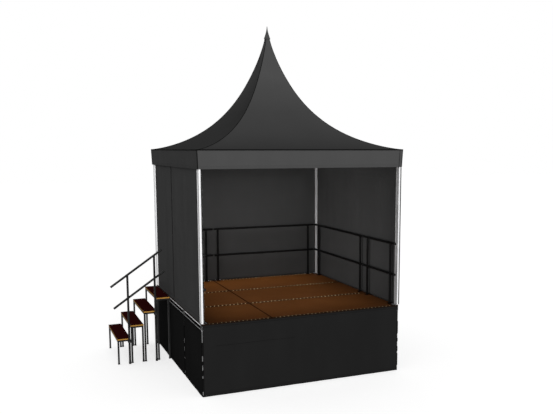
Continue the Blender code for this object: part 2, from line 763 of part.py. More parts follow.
def build_walls():
    low = DECK_HEIGHT + WALL_FLOOR_GAP
    high = beam_low + WALL_IN_SLOT
    half = WALL_THICKNESS / 2
    x0, x1 = wall_sides(True)
    y = deck_depth - wall_line
    finish(box((x0, y - half, low), (x1, y + half, high)), "back_wall", charcoal_fabric)
    y0, y1 = wall_sides(False)
    x = deck_width - wall_line
    finish(box((x - half, y0, low), (x + half, y1, high)), "right_wall", charcoal_fabric)
    x = wall_line
    left_wall = box((x - half, y0, low), (x + half, y1, high))
    doorway = box((x - 2 * half, door_front, low - WELD), (x + 2 * half, door_rear, door_head))
    finish(cut(left_wall, doorway), "left_wall", charcoal_fabric)
    flap = box((x - half, door_front + SEAM_GAP, low),
               (x + half, door_rear - SEAM_GAP, door_head - SEAM_GAP))
    finish(flap, "door_flap", charcoal_fabric, pivot=(x, door_rear, low))
    build_zip_slider(x - half - SLIDE_CLEARANCE)


def build_zip_slider(face):
    """The slider that closes the door's zip, with its pull tab hanging below it."""
    y = door_front + SEAM_GAP / 2
    foot = DECK_HEIGHT + ZIP_REST_HEIGHT
    half = ZIP_WIDTH / 2
    slider = box((face - ZIP_THICKNESS, y - half, foot), (face, y + half, foot + ZIP_LENGTH))
    tab_x = face - (ZIP_THICKNESS + ZIP_TAB_THICKNESS) / 2
    tab = box((tab_x, y - half / 2, foot - ZIP_TAB_LENGTH),
              (tab_x + ZIP_TAB_THICKNESS, y + half / 2, foot + WELD))
    finish(weld(slider, tab), "zip_slider", zinc_plated, pivot=(face, y, foot))


# Guard rails: two posts that drop over spigots and two rails that run past them

def guard_rail(run, line, start, end, posts):
    foot = DECK_HEIGHT + FIT_GAP + TAB_THICKNESS + FIT_GAP
    top = DECK_HEIGHT + TOP_RAIL_HEIGHT
    rails = []
    for height in (TOP_RAIL_HEIGHT, MID_RAIL_HEIGHT):
        ends = [(*rail_point(run, line, along), DECK_HEIGHT + height) for along in (start, end)]
        rails.append(tube(ends, RAIL_RADIUS))
    uprights = []
    bores = []
    for along in posts:
        x, y = rail_point(run, line, along)
        uprights.append(upright((x, y, foot), top - foot, RAIL_POST_RADIUS))
        bores.append(upright((x, y, foot - WELD), SPIGOT_HEIGHT + 2 * WELD,
                             SPIGOT_RADIUS + SLIDE_CLEARANCE, 16))
    return cut(weld(rails[0], rails[1], *uprights), *bores)


def build_guard_rails():
    for name, run, line, start, end, posts in rail_feet():
        rail = guard_rail(run, line, start, end, posts)
        pivot = (*rail_point(run, line, posts[0]), DECK_HEIGHT)
        finish(rail, name, black_steel, pivot=pivot, smooth=True)


# Stair: benches that rise to the deck's height, and a handrail on their front side

def tread_left(number):
    pitch = TREAD_DEPTH + TREAD_GAP
    return -STAIR_DECK_GAP - TREAD_DEPTH - (TREAD_COUNT - 1 - number) * pitch


def tread_top(number):
    return DECK_HEIGHT - (TREAD_COUNT - 1 - number) * TREAD_RISE


def post_place(number):
    """How far along X a bench's handrail post stands."""
    return tread_left(number) + POST_SETBACK


def stair_frame(number):
    """Four legs under a ring of square bars, with the handrail's sleeve where a post stands."""
    x0 = tread_left(number) + STAIR_FRAME_INSET
    x1 = x0 + TREAD_DEPTH - 2 * STAIR_FRAME_INSET
    y0 = stair_front + STAIR_FRAME_INSET
    y1 = stair_front + TREAD_LENGTH - STAIR_FRAME_INSET
    high = tread_top(number) - TREAD_THICKNESS - FIT_GAP
    low = high - STAIR_BAR
    ring = box((x0, y0, low), (x1, y1, high))
    well = box((x0 + STAIR_BAR, y0 + STAIR_BAR, low - WELD),
               (x1 - STAIR_BAR, y1 - STAIR_BAR, high + WELD))
    frame = cut(ring, well)
    legs = []
    grow = STAIR_FOOT_GROWTH
    for x in (x0, x1 - STAIR_BAR):
        for y in (y0, y1 - STAIR_BAR):
            far_x, far_y = x + STAIR_BAR, y + STAIR_BAR
            legs.append(box((x, y, STAIR_FOOT_HEIGHT / 2), (far_x, far_y, low + WELD)))
            legs.append(box((x - grow, y - grow, 0), (far_x + grow, far_y + grow, STAIR_FOOT_HEIGHT)))
    frame = weld(frame, *legs)
    if number in POST_BENCHES:
        frame = add_sleeve(frame, post_place(number), y0, high)
    return frame


handrail_line = stair_front - HANDRAIL_OFFSET


def add_sleeve(frame, post, frame_front, high):
    """A block with a hole that the handrail's post drops through."""
    hole = HANDRAIL_POST_RADIUS + SLIDE_CLEARANCE
    half = hole + SLEEVE_WALL
    block = box((post - half, handrail_line - half, high - SLEEVE_HEIGHT),
                (post + half, frame_front + WELD, high - WELD))
    bore = upright((post, handrail_line, high - SLEEVE_HEIGHT - WELD), SLEEVE_HEIGHT + 2 * WELD, hole)
    return cut(weld(frame, block), bore)


def handrail_height(x):
    """The top rail's height at a place along X."""
    lowest = POST_BENCHES[0]
    return tread_top(lowest) + HANDRAIL_ABOVE_TREAD + (x - post_place(lowest)) * RAIL_SLOPE


def stair_handrail():
    first, last = (post_place(number) for number in POST_BENCHES)
    rails = []
    for drop, shift in ((0.0, 0.0), (RAIL_SPACING, MID_RAIL_SHIFT)):
        ends = []
        for x in (first - RAIL_LOW_END + shift, last + RAIL_HIGH_END + shift):
            ends.append((x, handrail_line, handrail_height(x) - drop))
        rails.append(tube(ends, HANDRAIL_RADIUS))
    uprights = []
    for number in POST_BENCHES:
        x = post_place(number)
        uprights.append(upright((x, handrail_line, 0.0), handrail_height(x), HANDRAIL_POST_RADIUS))
        rest = tread_top(number) - TREAD_THICKNESS - WELD
        uprights.append(upright((x, handrail_line, rest), COLLAR_HEIGHT, COLLAR_RADIUS))
    return weld(rails[0], rails[1], *uprights)


def build_stair():
    for number in range(TREAD_COUNT):
        x0 = tread_left(number)
        top = tread_top(number)
        tread = box((x0, stair_front, top - TREAD_THICKNESS),
                    (x0 + TREAD_DEPTH, stair_front + TREAD_LENGTH, top))
        finish(tread, f"stair_tread_{number + 1}", maroon_plywood)
        finish(stair_frame(number), f"stair_frame_{number + 1}", black_steel)
    pivot = (post_place(POST_BENCHES[0]), handrail_line, 0.0)
    finish(stair_handrail(), "stair_handrail", black_steel, pivot=pivot, smooth=True)


def footprint_centre():
    """The middle of the whole object's outline on the floor, from the sizes that reach furthest."""
    slope = hypot(1.0, RAIL_SLOPE)
    rail_end = post_place(POST_BENCHES[0]) - RAIL_LOW_END
    handrail_end = rail_end - HANDRAIL_RADIUS * RAIL_SLOPE / slope
    left = min(handrail_end, tread_left(0), -EAVE_OVERHANG)
    right = deck_width + EAVE_OVERHANG
    stair_end = stair_front + TREAD_LENGTH
    near = min(-EAVE_OVERHANG, handrail_line - HANDRAIL_RADIUS)
    far = max(deck_depth + EAVE_OVERHANG, stair_end)
    return (left + right) / 2, (near + far) / 2


for leftover in list(bpy.data.objects):
    bpy.data.objects.remove(leftover)

stage = make_collection("covered_stage")
helpers = make_collection("helpers")
stage_corner = bpy.data.objects.new("stage_corner", None)
stage.objects.link(stage_corner)
centre_x, centre_y = footprint_centre()
stage_corner.location = (-centre_x, -centre_y, 0.0)

build_deck()
build_trestles()
build_skirts()
build_tent_frame()
build_roof()
build_king_pole()
build_walls()
build_guard_rails()
build_stair()
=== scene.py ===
"""The looks of the covered stage: its finishes, cloths, seams and fittings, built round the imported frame.

Lengths are in metres. Sections use stage coordinates, as the part does: the deck's front-left corner on
the floor is zero, +X runs right along the front edge, +Y to the rear and +Z up. The roof cloth follows
the part's own rule: at a share of the rise the hips stand (1 - rise) to a power, divided by 1 plus a sweep
times the rise to a power, of the eave's half width from the middle, and each side is drawn in between them.
"""

from math import pi, radians, sqrt

import bmesh
import bpy
import numpy as np
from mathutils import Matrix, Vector


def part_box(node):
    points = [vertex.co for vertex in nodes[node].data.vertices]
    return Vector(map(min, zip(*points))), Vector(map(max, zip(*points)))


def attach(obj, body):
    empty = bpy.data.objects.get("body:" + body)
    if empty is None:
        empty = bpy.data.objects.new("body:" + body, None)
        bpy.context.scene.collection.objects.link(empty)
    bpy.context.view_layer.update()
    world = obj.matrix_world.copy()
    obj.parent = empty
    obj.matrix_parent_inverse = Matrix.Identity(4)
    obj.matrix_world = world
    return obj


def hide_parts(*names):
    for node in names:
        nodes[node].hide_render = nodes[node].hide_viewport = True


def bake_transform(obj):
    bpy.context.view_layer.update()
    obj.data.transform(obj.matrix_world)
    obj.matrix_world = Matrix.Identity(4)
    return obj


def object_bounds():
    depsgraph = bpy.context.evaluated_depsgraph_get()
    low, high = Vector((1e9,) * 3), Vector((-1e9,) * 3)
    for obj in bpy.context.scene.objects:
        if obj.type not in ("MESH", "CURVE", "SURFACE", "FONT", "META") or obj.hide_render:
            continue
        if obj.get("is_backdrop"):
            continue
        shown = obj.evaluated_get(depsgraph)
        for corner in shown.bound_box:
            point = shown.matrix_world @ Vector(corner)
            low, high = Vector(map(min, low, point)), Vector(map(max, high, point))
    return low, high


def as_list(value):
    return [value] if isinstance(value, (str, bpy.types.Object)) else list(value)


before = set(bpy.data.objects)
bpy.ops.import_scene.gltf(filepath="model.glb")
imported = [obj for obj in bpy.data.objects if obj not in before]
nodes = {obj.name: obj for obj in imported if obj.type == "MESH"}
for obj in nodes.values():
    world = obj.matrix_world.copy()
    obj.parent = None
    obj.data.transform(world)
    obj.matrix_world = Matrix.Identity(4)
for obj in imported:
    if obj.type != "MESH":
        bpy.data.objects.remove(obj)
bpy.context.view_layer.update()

# Camera, floor and light
# The camera stands where the photographer's did, found from the deck's own grid of metre modules. The
# floor and the world are plain white to the eye, and light the stage softly from all round. A low lamp
# lights the front, a flag keeps it from shining in under the roof, and four wide lamps light the inside.

MODULE_GAP = 0.0005
corner = np.array([*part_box("deck_frame_left_front")[0].xy, 0.0]) - (MODULE_GAP, MODULE_GAP, 0.0)
PHOTO_WIDTH = 553
CAMERA_PLACE = (-2.2775, -8.8509, 3.3146)
CAMERA_YAW = 0.4052
CAMERA_PITCH = -0.1334
CAMERA_REACH = 699.0            # focal length, in the photograph's pixels
CAMERA_SHIFT = (-30.4, 35.4)    # the photograph's middle from the optical axis, in its pixels
CAMERA_FAR = 200.0
SENSOR_WIDTH = 36.0
FLOOR_HALF = 60.0
SKY_LEVEL = 0.37
FLOOR_GLOW = 0.66
KEY_LEVEL = 2.0
KEY_PLACE = (0.0, -6.0, 4.0)
KEY_TURN = (radians(84), 0.0, radians(-6))
KEY_SOFTNESS = radians(12)
ROOF_LAMPS = (((1.5, 1.5, 3.02), (2.4, 2.8), 12.0), ((1.5, 2.78, 3.02), (2.6, 0.3), 4.0))
ROOF_LAMP_SPREAD = radians(50)
FILLS = (((1.5, 0.1, 2.0), 0.0, 7.5), ((0.14, 1.5, 2.0), radians(-90), 11.0))
FILL_SIZE = (2.7, 1.8)
FILL_SPREAD = radians(110)
FLAG_SIDES = (0.05, 2.95)
FLAG_HEIGHTS = (1.0, 3.05)
FLAG_Y = -0.03

camera = bpy.data.objects.new("camera", bpy.data.cameras.new("camera"))
bpy.context.scene.collection.objects.link(camera)
camera.location = np.array(CAMERA_PLACE) + corner
camera.rotation_euler = (pi / 2 + CAMERA_PITCH, 0.0, -CAMERA_YAW)
camera.data.sensor_width = SENSOR_WIDTH
camera.data.lens = CAMERA_REACH * SENSOR_WIDTH / PHOTO_WIDTH
camera.data.shift_x = CAMERA_SHIFT[0] / PHOTO_WIDTH
camera.data.shift_y = CAMERA_SHIFT[1] / PHOTO_WIDTH
camera.data.clip_end = CAMERA_FAR
bpy.context.scene.camera = camera
bpy.context.scene.view_settings.view_transform = "Standard"


class Wire:
    """A shader socket that can be written in sums: each operator adds one Math node."""

    def __init__(self, finish, socket):
        self.finish = finish
        self.socket = socket

    def math(self, operation, *values):
        return self.finish.node("ShaderNodeMath", {"operation": operation}, *values)

    def __add__(self, other):
        return self.math("ADD", self, other)

    def __sub__(self, other):
        return self.math("SUBTRACT", self, other)

    def __rsub__(self, other):
        return self.math("SUBTRACT", other, self)

    def __mul__(self, other):
        return self.math("MULTIPLY", self, other)

    def __pow__(self, other):
        return self.math("POWER", self, other)

    def __gt__(self, other):
        return self.math("GREATER_THAN", self, other)

    def __lt__(self, other):
        return self.math("LESS_THAN", self, other)

    def __abs__(self):
        return self.math("ABSOLUTE", self)

    __radd__ = __add__
    __rmul__ = __mul__

    def sine(self):
        return self.math("SINE", self)

    def most(self, other):
        return self.math("MAXIMUM", self, other)

    def repeat(self, pitch):
        """How far along each pitch this value is, from 0 to 1."""
        return self.math("FRACT", self * (1 / pitch))

    def crease(self, pitch, sharpness):
        """A soft ridge at every pitch, from 0 between them to 1 on top."""
        return (abs(self.repeat(pitch) - 0.5) * 2) ** sharpness


class Finish:
    """A material, and the one method that adds nodes to it."""

    def __init__(self, name, tree=None, **constants):
        self.material = None
        if tree is None:
            self.material = bpy.data.materials.new(name)
            self.material.use_nodes = True
            tree = self.material.node_tree
        self.tree = tree
        self.shader = tree.nodes.get("Principled BSDF")
        self.shade(**constants)

    def put(self, socket, value):
        if isinstance(value, Wire):
            self.tree.links.new(value.socket, socket)
        elif isinstance(value, tuple) and socket.type == "RGBA":
            socket.default_value = (*value, 1.0)
        else:
            socket.default_value = value

    def node(self, kind, settings, *values, output=0, **named):
        """A node of a kind, with its settings made first, then its sockets in order or by name."""
        node = self.tree.nodes.new(kind)
        for setting, value in settings.items():
            setattr(node, setting, value)
        for socket, value in zip(node.inputs, values):
            self.put(socket, value)
        for socket, value in named.items():
            self.put(node.inputs[socket], value)
        return Wire(self, node.outputs[output])

    def place(self):
        """Stage coordinates as one vector."""
        held = self.node("ShaderNodeTexCoord", {}, output="Object")
        return self.node("ShaderNodeMapping", {}, held, Location=tuple(-corner))

    def axes(self, place):
        """The X, Y and Z of a vector."""
        split = self.tree.nodes.new("ShaderNodeSeparateXYZ")
        self.put(split.inputs[0], place)
        return [Wire(self, socket) for socket in split.outputs]

    def noise(self, place, scale, detail=3.0, stretch=(1.0, 1.0, 1.0)):
        """Smooth noise from 0 to 1, with scale lumps in a metre, drawn out by stretch."""
        drawn = self.node("ShaderNodeMapping", {}, place, Scale=stretch)
        return self.node("ShaderNodeTexNoise", {}, Vector=drawn, Scale=scale, Detail=detail)

    def blend(self, share, first, second):
        """A colour between two colours."""
        mixed = self.tree.nodes.new("ShaderNodeMix")
        mixed.data_type = "RGBA"
        self.put(mixed.inputs["Factor"], share)
        self.put(mixed.inputs["A"], first)
        self.put(mixed.inputs["B"], second)
        return Wire(self, mixed.outputs["Result"])

    def shade(self, **values):
        """Sets sockets of the surface shader, with _ for the spaces in their names."""
        for socket, value in values.items():
            self.put(self.shader.inputs[socket.replace("_", " ")], value)

    def bump(self, height, depth):
        """Raises the surface by height, which runs from 0 to 1, over a depth in metres."""
        raised = self.node("ShaderNodeBump", {}, Height=height, Distance=depth, Strength=1.0)
        self.shade(Normal=raised)


def tone(level):
    """A grey, or a colour of three, from the photograph's 0 to 255 to linear light."""
    levels = np.atleast_1d(np.array(level, float)) / 255
    linear = np.where(levels <= 0.04045, levels / 12.92, ((levels + 0.055) / 1.055) ** 2.4)
    return tuple(float(x) for x in np.broadcast_to(linear, 3))


def eye_rays(paint):
    """1 for rays that are seen straight, in a gloss or through glass, and 0 for those that only light."""
    seen = [paint.node("ShaderNodeLightPath", {}, output=f"Is {ray} Ray")
            for ray in ("Camera", "Glossy", "Transmission")]
    return seen[0].most(seen[1]).most(seen[2])


def backdrop(name, corners, material):
    """A card of the studio, which isn't part of the stage."""
    mesh = bpy.data.meshes.new(name)
    mesh.from_pydata(corners, [], [(0, 1, 2, 3)])
    mesh.materials.append(material)
    card = bpy.data.objects.new(name, mesh)
    bpy.context.scene.collection.objects.link(card)
    card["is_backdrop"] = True
    return card


world = bpy.data.worlds.new("studio")
bpy.context.scene.world = world
world.use_nodes = True
sky = Finish("studio", tree=world.node_tree)
lit = sky.node("ShaderNodeBackground", {}, Color=(1.0, 1.0, 1.0), Strength=SKY_LEVEL)
seen = sky.node("ShaderNodeBackground", {}, Color=(1.0, 1.0, 1.0), Strength=1.0)
both = sky.node("ShaderNodeMixShader", {}, eye_rays(sky), lit, seen)
sky.tree.links.new(both.socket, world.node_tree.nodes["World Output"].inputs["Surface"])

ground = Finish("studio_floor", Base_Color=(0.9, 0.9, 0.9), Roughness=1.0, Specular_IOR_Level=0.0,
                Emission_Color=(1.0, 1.0, 1.0))
ground.shade(Emission_Strength=eye_rays(ground) * FLOOR_GLOW)
backdrop("studio_floor", [(-FLOOR_HALF, -FLOOR_HALF, 0.0), (FLOOR_HALF, -FLOOR_HALF, 0.0),
                          (FLOOR_HALF, FLOOR_HALF, 0.0), (-FLOOR_HALF, FLOOR_HALF, 0.0)], ground.material)

black = Finish("studio_flag", Base_Color=(0.0, 0.0, 0.0), Roughness=1.0)
flag = backdrop("studio_flag", [tuple(np.array((x, FLAG_Y, z)) + corner) for x, z in (
    (FLAG_SIDES[0], FLAG_HEIGHTS[0]), (FLAG_SIDES[1], FLAG_HEIGHTS[0]),
    (FLAG_SIDES[1], FLAG_HEIGHTS[1]), (FLAG_SIDES[0], FLAG_HEIGHTS[1]))], black.material)
for ray in ("camera", "diffuse", "glossy", "transmission"):
    setattr(flag, f"visible_{ray}", False)


def lamp(name, kind, power, place, turn):
    light = bpy.data.lights.new(name, kind)
    light.energy = power
    shown = bpy.data.objects.new(name, light)
    bpy.context.scene.collection.objects.link(shown)
    shown.location = np.array(place) + corner
    shown.rotation_euler = turn
    return shown


key = lamp("key_light", "SUN", KEY_LEVEL, KEY_PLACE, KEY_TURN)
key.data.angle = KEY_SOFTNESS
wide_lamps = [(place, size, power, ROOF_LAMP_SPREAD, (0.0, 0.0, 0.0)) for place, size, power in ROOF_LAMPS]
wide_lamps += [(place, FILL_SIZE, power, FILL_SPREAD, (radians(90), 0.0, turn))
               for place, turn, power in FILLS]
for place, size, power, spread, turn in wide_lamps:
    light = lamp("inside_light", "AREA", power, place, turn)
    light.data.shape = "RECTANGLE"
    light.data.size, light.data.size_y = size
    light.data.spread = spread
    light.visible_glossy = False
    light.visible_camera = False


# Deck frames
# Satin anodised aluminium rings with a channel round the outside. Their top lips and the lock plates on
# them are coated brown like the boards. Along the sides the channel holds a bright keder rail and hook tape
# for the skirts, and a black plastic shoe covers each frame's outer corner. The black hook tape in the
# channel is partly painted shade: it fills the recess with the dark of the channel's shadow.

DECK_SIDE = 3.0
ROWS = ("front", "middle", "rear")
LIP_BAND = (0.978, 1.012)
LIP_BROWN = tone((32, 19, 10))
RUBBER_BLACK = tone(22)
HOOK_PITCH = 0.0022
CHANNEL_HEIGHTS = (0.924, 0.970)
CHANNEL_FLOOR = -0.006          # this and the other depths count outwards from a frame's face
CHANNEL_TAPE_FACE = -0.004
KEDER_HEIGHTS = (0.973, 0.985)
KEDER_FACE = 0.001
KEDER_SHORT = 0.002
EDGE_TAPE_HEIGHTS = (0.9092, 0.9185)
EDGE_TAPE_FACE = 0.0013
SHOE_REACH = 0.05
SHOE_GAP = 0.001
SHOE_HEIGHTS = (0.909, 0.9975)
SHOE_FACE = 0.0022
SHOE_PLUG_HEIGHTS = (0.926, 0.982)


def spread(*axes):
    """Coordinates as one array of points, each spread over the others' rows or columns."""
    return np.stack(np.broadcast_arrays(*axes), -1)


def grid_faces(rows, columns, round_rows=False, round_columns=False):
    """Quads between neighbours of a grid of points that are numbered row by row."""
    row = np.arange(rows if round_rows else rows - 1)[:, None]
    column = np.arange(columns if round_columns else columns - 1)[None, :]
    next_row, next_column = (row + 1) % rows, (column + 1) % columns
    quads = spread(row * columns + column, row * columns + next_column,
                   next_row * columns + next_column, next_row * columns + column)
    return quads.reshape(-1, 4).tolist()


def joined(*shapes):
    """Several shapes as one. A shape is an array of points and a list of faces."""
    points, faces, start = [], [], 0
    for shape_points, shape_faces in shapes:
        points.append(np.asarray(shape_points, float).reshape(-1, 3))
        faces += [[index + start for index in face] for face in shape_faces]
        start += len(points[-1])
    return np.concatenate(points), faces


def copies(shape, places, facing=(0, 0, 1)):
    """The same shape at many places, with its own +Z turned along facing."""
    points, faces = shape
    turn = np.array(Vector((0, 0, 1)).rotation_difference(Vector(facing)).to_matrix())
    turned_points = np.asarray(points) @ turn.T
    return joined(*((turned_points + place, faces) for place in np.asarray(places, float)))


def turned(profile, sides=16):
    """A shape of revolution about Z from (radius, height) pairs up its outside, with flat ends."""
    angles = np.arange(sides) * (2 * pi / sides)
    points = np.array([(r * np.cos(a), r * np.sin(a), h) for r, h in profile for a in angles])
    faces = grid_faces(len(profile), sides, round_columns=True)
    first, last = list(range(sides)), list(range(len(points) - sides, len(points)))
    return points, faces + [first[::-1], last]


def block(low, high, edge=0.0008):
    """A block between two corners, with small chamfers."""
    low, high = np.minimum(low, high), np.maximum(low, high)
    bm = bmesh.new()
    bmesh.ops.create_cube(bm, size=1.0)
    for vert in bm.verts:
        vert.co = Vector((np.array(vert.co) + 0.5) * (high - low) + low)
    bmesh.ops.bevel(bm, geom=bm.edges, offset=edge, segments=1, affect="EDGES")
    points = np.array([vert.co for vert in bm.verts])
    faces = [[vert.index for vert in face.verts] for face in bm.faces]
    bm.free()
    return points, faces


def add_piece(name, shape, material, body="stage", metres=None):
    """A named mesh from a shape in stage coordinates. Its object sits at the origin and rides on a body.

    metres gives each point its place in flat cloth, and sews together the points that meet.
    """
    points, faces = shape
    mesh = bpy.data.meshes.new(name)
    mesh.from_pydata((np.asarray(points, float).reshape(-1, 3) + corner).tolist(), [], faces)
    mesh.materials.append(material)
    if metres is not None:
        flat = np.asarray(metres).reshape(-1, 2)[[index for face in faces for index in face]]
        mesh.uv_layers.new(name="cloth").data.foreach_set("uv", flat.ravel())
        bm = bmesh.new()
        bm.from_mesh(mesh)
        bmesh.ops.remove_doubles(bm, verts=bm.verts, dist=0.0001)
        bm.to_mesh(mesh)
        bm.free()
    mesh.shade_smooth()
    mesh.set_sharp_from_angle(angle=radians(35))
    made = bpy.data.objects.new(name, mesh)
    bpy.context.scene.collection.objects.link(made)
    if body:
        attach(made, body)
    return made


def dress(material, *names):
    """Gives CAD nodes a finish."""
    for name in names:
        nodes[name].data.materials.clear()
        nodes[name].data.materials.append(material)


def aluminium(name, level=0.66, grain=(1.0, 1.0, 1.0), coated=None, metallic=0.3, gloss=0.5):
    """Satin anodised extrusion: fine drawing lines along its length, faint smudges and dulled patches.

    coated is a band of heights with a colour of its own: its foot, its top and the colour. gloss is the
    shine of what isn't bare metal.
    """
    metal = Finish(name, Metallic=metallic, Specular_IOR_Level=gloss)
    place = metal.place()
    lines = metal.noise(place, 900, 2, grain)
    smudge = metal.noise(place, 5, 4)
    bright = (level - 0.04) + lines * 0.05 + smudge * 0.1
    colour = metal.node("ShaderNodeCombineColor", {}, bright, bright, bright * 1.01)
    dulled = 0.34 + smudge * 0.18
    if coated:
        height = metal.axes(place)[2]
        bare = ((height < coated[0]) + (height > coated[1])).most(0.0)
        colour = metal.blend(bare, coated[2], colour)
        metal.shade(Metallic=bare * metallic)
        dulled = dulled + (1.0 - bare) * 0.25
    metal.shade(Base_Color=colour, Roughness=dulled)
    metal.bump(lines, 0.00004)
    return metal.material


def black_plastic(name, level=26):
    """Moulded nylon: fine spark-eroded grain, and paler where it is scuffed."""
    plastic = Finish(name, Specular_IOR_Level=0.25)
    place = plastic.place()
    scuffs = plastic.noise(place, 35, 5) ** 3
    grain = plastic.noise(place, 900, 2)
    plastic.shade(Base_Color=plastic.blend(scuffs, tone(level), tone(level + 30)),
                  Roughness=0.5 + grain * 0.2)
    plastic.bump(grain, 0.00006)
    return plastic.material


def hook_tape(name):
    """Woven tape with rows of small hooks."""
    tape = Finish(name, Roughness=0.9, Specular_IOR_Level=0.0)
    x, y, z = tape.axes(tape.place())
    hooks = ((x + y) * (2 * pi / HOOK_PITCH)).sine() * (z * (2 * pi / HOOK_PITCH)).sine()
    tape.shade(Base_Color=tape.blend(hooks, tone(17), tone(34)))
    tape.bump(hooks, 0.0006)
    return tape.material


frame_metal = aluminium("anodised_frame", grain=(0.02, 0.02, 1.0), coated=(*LIP_BAND, LIP_BROWN), gloss=0.03)
dress(frame_metal, *(f"deck_frame_{side}_{row}" for side in ("left", "right") for row in ROWS))

keder_metal = aluminium("anodised_keder_rail", 0.8, (1.0, 0.02, 1.0))
shoe_plastic = black_plastic("black_shoes")
loops = hook_tape("black_hook_tape")
for side, edge, outwards in (("left", MODULE_GAP, -1), ("right", DECK_SIDE - MODULE_GAP, 1)):
    def side_strip(back, face, start, end, heights, chamfer):
        """A strip along this side of the deck, between two depths."""
        back_x, face_x = edge + outwards * back, edge + outwards * face
        return block((back_x, start, heights[0]), (face_x, end, heights[1]), chamfer)

    tapes, keders, shoes = [], [], []
    for number in range(len(ROWS)):
        low, high = number + SHOE_REACH, number + 1 - SHOE_REACH
        # The black hook tape in the channel is partly painted shade, darkening the recess where its shadow
        # falls.
        tapes.append(side_strip(CHANNEL_FLOOR, CHANNEL_TAPE_FACE, low, high, CHANNEL_HEIGHTS, 0.0004))
        tapes.append(side_strip(0.0, EDGE_TAPE_FACE, low, high, EDGE_TAPE_HEIGHTS, 0.0004))
        keder_low, keder_high = low + KEDER_SHORT, high - KEDER_SHORT
        keders.append(side_strip(CHANNEL_FLOOR, KEDER_FACE, keder_low, keder_high, KEDER_HEIGHTS, 0.001))
        for start, end in ((number + SHOE_GAP, low), (high, number + 1 - SHOE_GAP)):
            shoes.append(side_strip(0.0, SHOE_FACE, start, end, SHOE_HEIGHTS, 0.0006))
            shoes.append(side_strip(CHANNEL_FLOOR, KEDER_FACE, start, end, SHOE_PLUG_HEIGHTS, 0.0006))
    add_piece(f"hook_tape_and_channel_shade_{side}", joined(*tapes), loops)
    add_piece(f"keder_rail_{side}", joined(*keders), keder_metal)
    add_piece(f"corner_shoes_{side}", joined(*shoes), shoe_plastic)

# Deck boards
# Birch plywood with a brown phenolic film on both sides. The film carries the faint print of the wire
# mesh that it was pressed with, and dull scuffs where people walk. Their ends are sealed with dark paint,
# and rows of bright round-headed screws stand along the frames' front and rear lips.

BOARD_BROWN = tone((92, 54, 22))
BOARD_DARK = tone((72, 41, 16))
MESH_PRINT = 0.004
SCREW_PITCH = 0.06
SCREW_ENDS = (0.1, 2.91)
SCREW_IN = 0.0065
JOINT_CLEAR = 0.02
RAIL_FOOT_CLEAR = 0.05
SCREW_PROFILE = ((0.0058, 0.0), (0.0057, 0.0012), (0.0048, 0.0028), (0.0030, 0.0036), (0.0015, 0.0037),
                 (0.0013, 0.0026))
DECK_TOP = 1.0
REAR_SCREWS = (2.945, 2.963)    # two rows that hold the rear boards, just inside the back wall
BACK_RAIL_FEET = (0.15, 0.87, 1.08, 2.8)
BOARD_SEAL = 0.032              # how far from a module's end its board is sealed with dark paint

film = Finish("brown_film_board", Specular_IOR_Level=0.12)
film_place = film.place()
film_x, film_y, _ = film.axes(film_place)
wires = (film_x * (2 * pi / MESH_PRINT)).sine() * (film_y * (2 * pi / MESH_PRINT)).sine()
blotches = film.noise(film_place, 2.2, 4)
streaks = film.noise(film_place, 16, 5, (0.12, 1.0, 1.0))
scuffs = film.noise(film_place, 60, 2, (0.15, 1.0, 1.0)) > 0.66
sealed = abs(film_y.repeat(1.0) - 0.5) > 0.5 - BOARD_SEAL
worn_brown = film.blend(blotches * 0.7 + streaks * 0.4, BOARD_BROWN, BOARD_DARK)
film.shade(Base_Color=film.blend(sealed * 0.85, worn_brown, LIP_BROWN),
           Roughness=0.55 + blotches * 0.12 + scuffs * 0.1)
film.bump(wires * 0.5 + streaks * 0.5, 0.00012)
dress(film.material, *(f"deck_board_{side}_{row}" for side in ("left", "right") for row in ROWS))


def plated(name, colour, metallic=0.5):
    """Plated steel: bright, a little cloudy, with fine scratches."""
    plate = Finish(name, Metallic=metallic)
    place = plate.place()
    cloud = plate.noise(place, 60, 4)
    scratches = plate.noise(place, 700, 2, (0.1, 1.0, 1.0))
    dull = tuple(0.75 * x for x in colour)
    plate.shade(Base_Color=plate.blend(cloud, colour, dull), Roughness=0.3 + cloud * 0.2)
    plate.bump(scratches, 0.00005)
    return plate.material


screw_columns = [x for x in np.arange(*SCREW_ENDS, SCREW_PITCH) if abs(x - 1) > JOINT_CLEAR]
screw_rows = [row + y for row in range(len(ROWS)) for y in (SCREW_IN, 1 - SCREW_IN)] + list(REAR_SCREWS)
screw_places = [(x, y, DECK_TOP) for y in screw_rows for x in screw_columns
                if y < min(REAR_SCREWS) or np.abs(np.subtract(BACK_RAIL_FEET, x)).min() > RAIL_FOOT_CLEAR]
pale_brass = plated("pale_brass", tone((248, 226, 180)), 0.05)
add_piece("deck_screws", copies(turned(SCREW_PROFILE, 10), screw_places), pale_brass)

# Leg trestles
# Square aluminium legs, welded to two ledgers, on black rubber feet. Bolts with washers hold each leg to
# the frames above, and a weld bead runs round each ledger's end.

FOOT_TOP = 0.03
LEG_SIDE = 0.05
LEG_COLUMNS = (0.028, 1.0, 2.972)
LEG_ROWS = (0.028, 1.0, 2.0, 2.972)
LEDGER_HEIGHTS = (0.2, 0.78)
LEDGER_HALF = 0.015
BEAD_RADIUS = 0.003


def ring(radius, sides=8, centre=(0.0, 0.0)):
    """A round outline."""
    angles = np.arange(sides) * (2 * pi / sides)
    return np.stack((centre[0] + radius * np.cos(angles), centre[1] + radius * np.sin(angles)), 1)


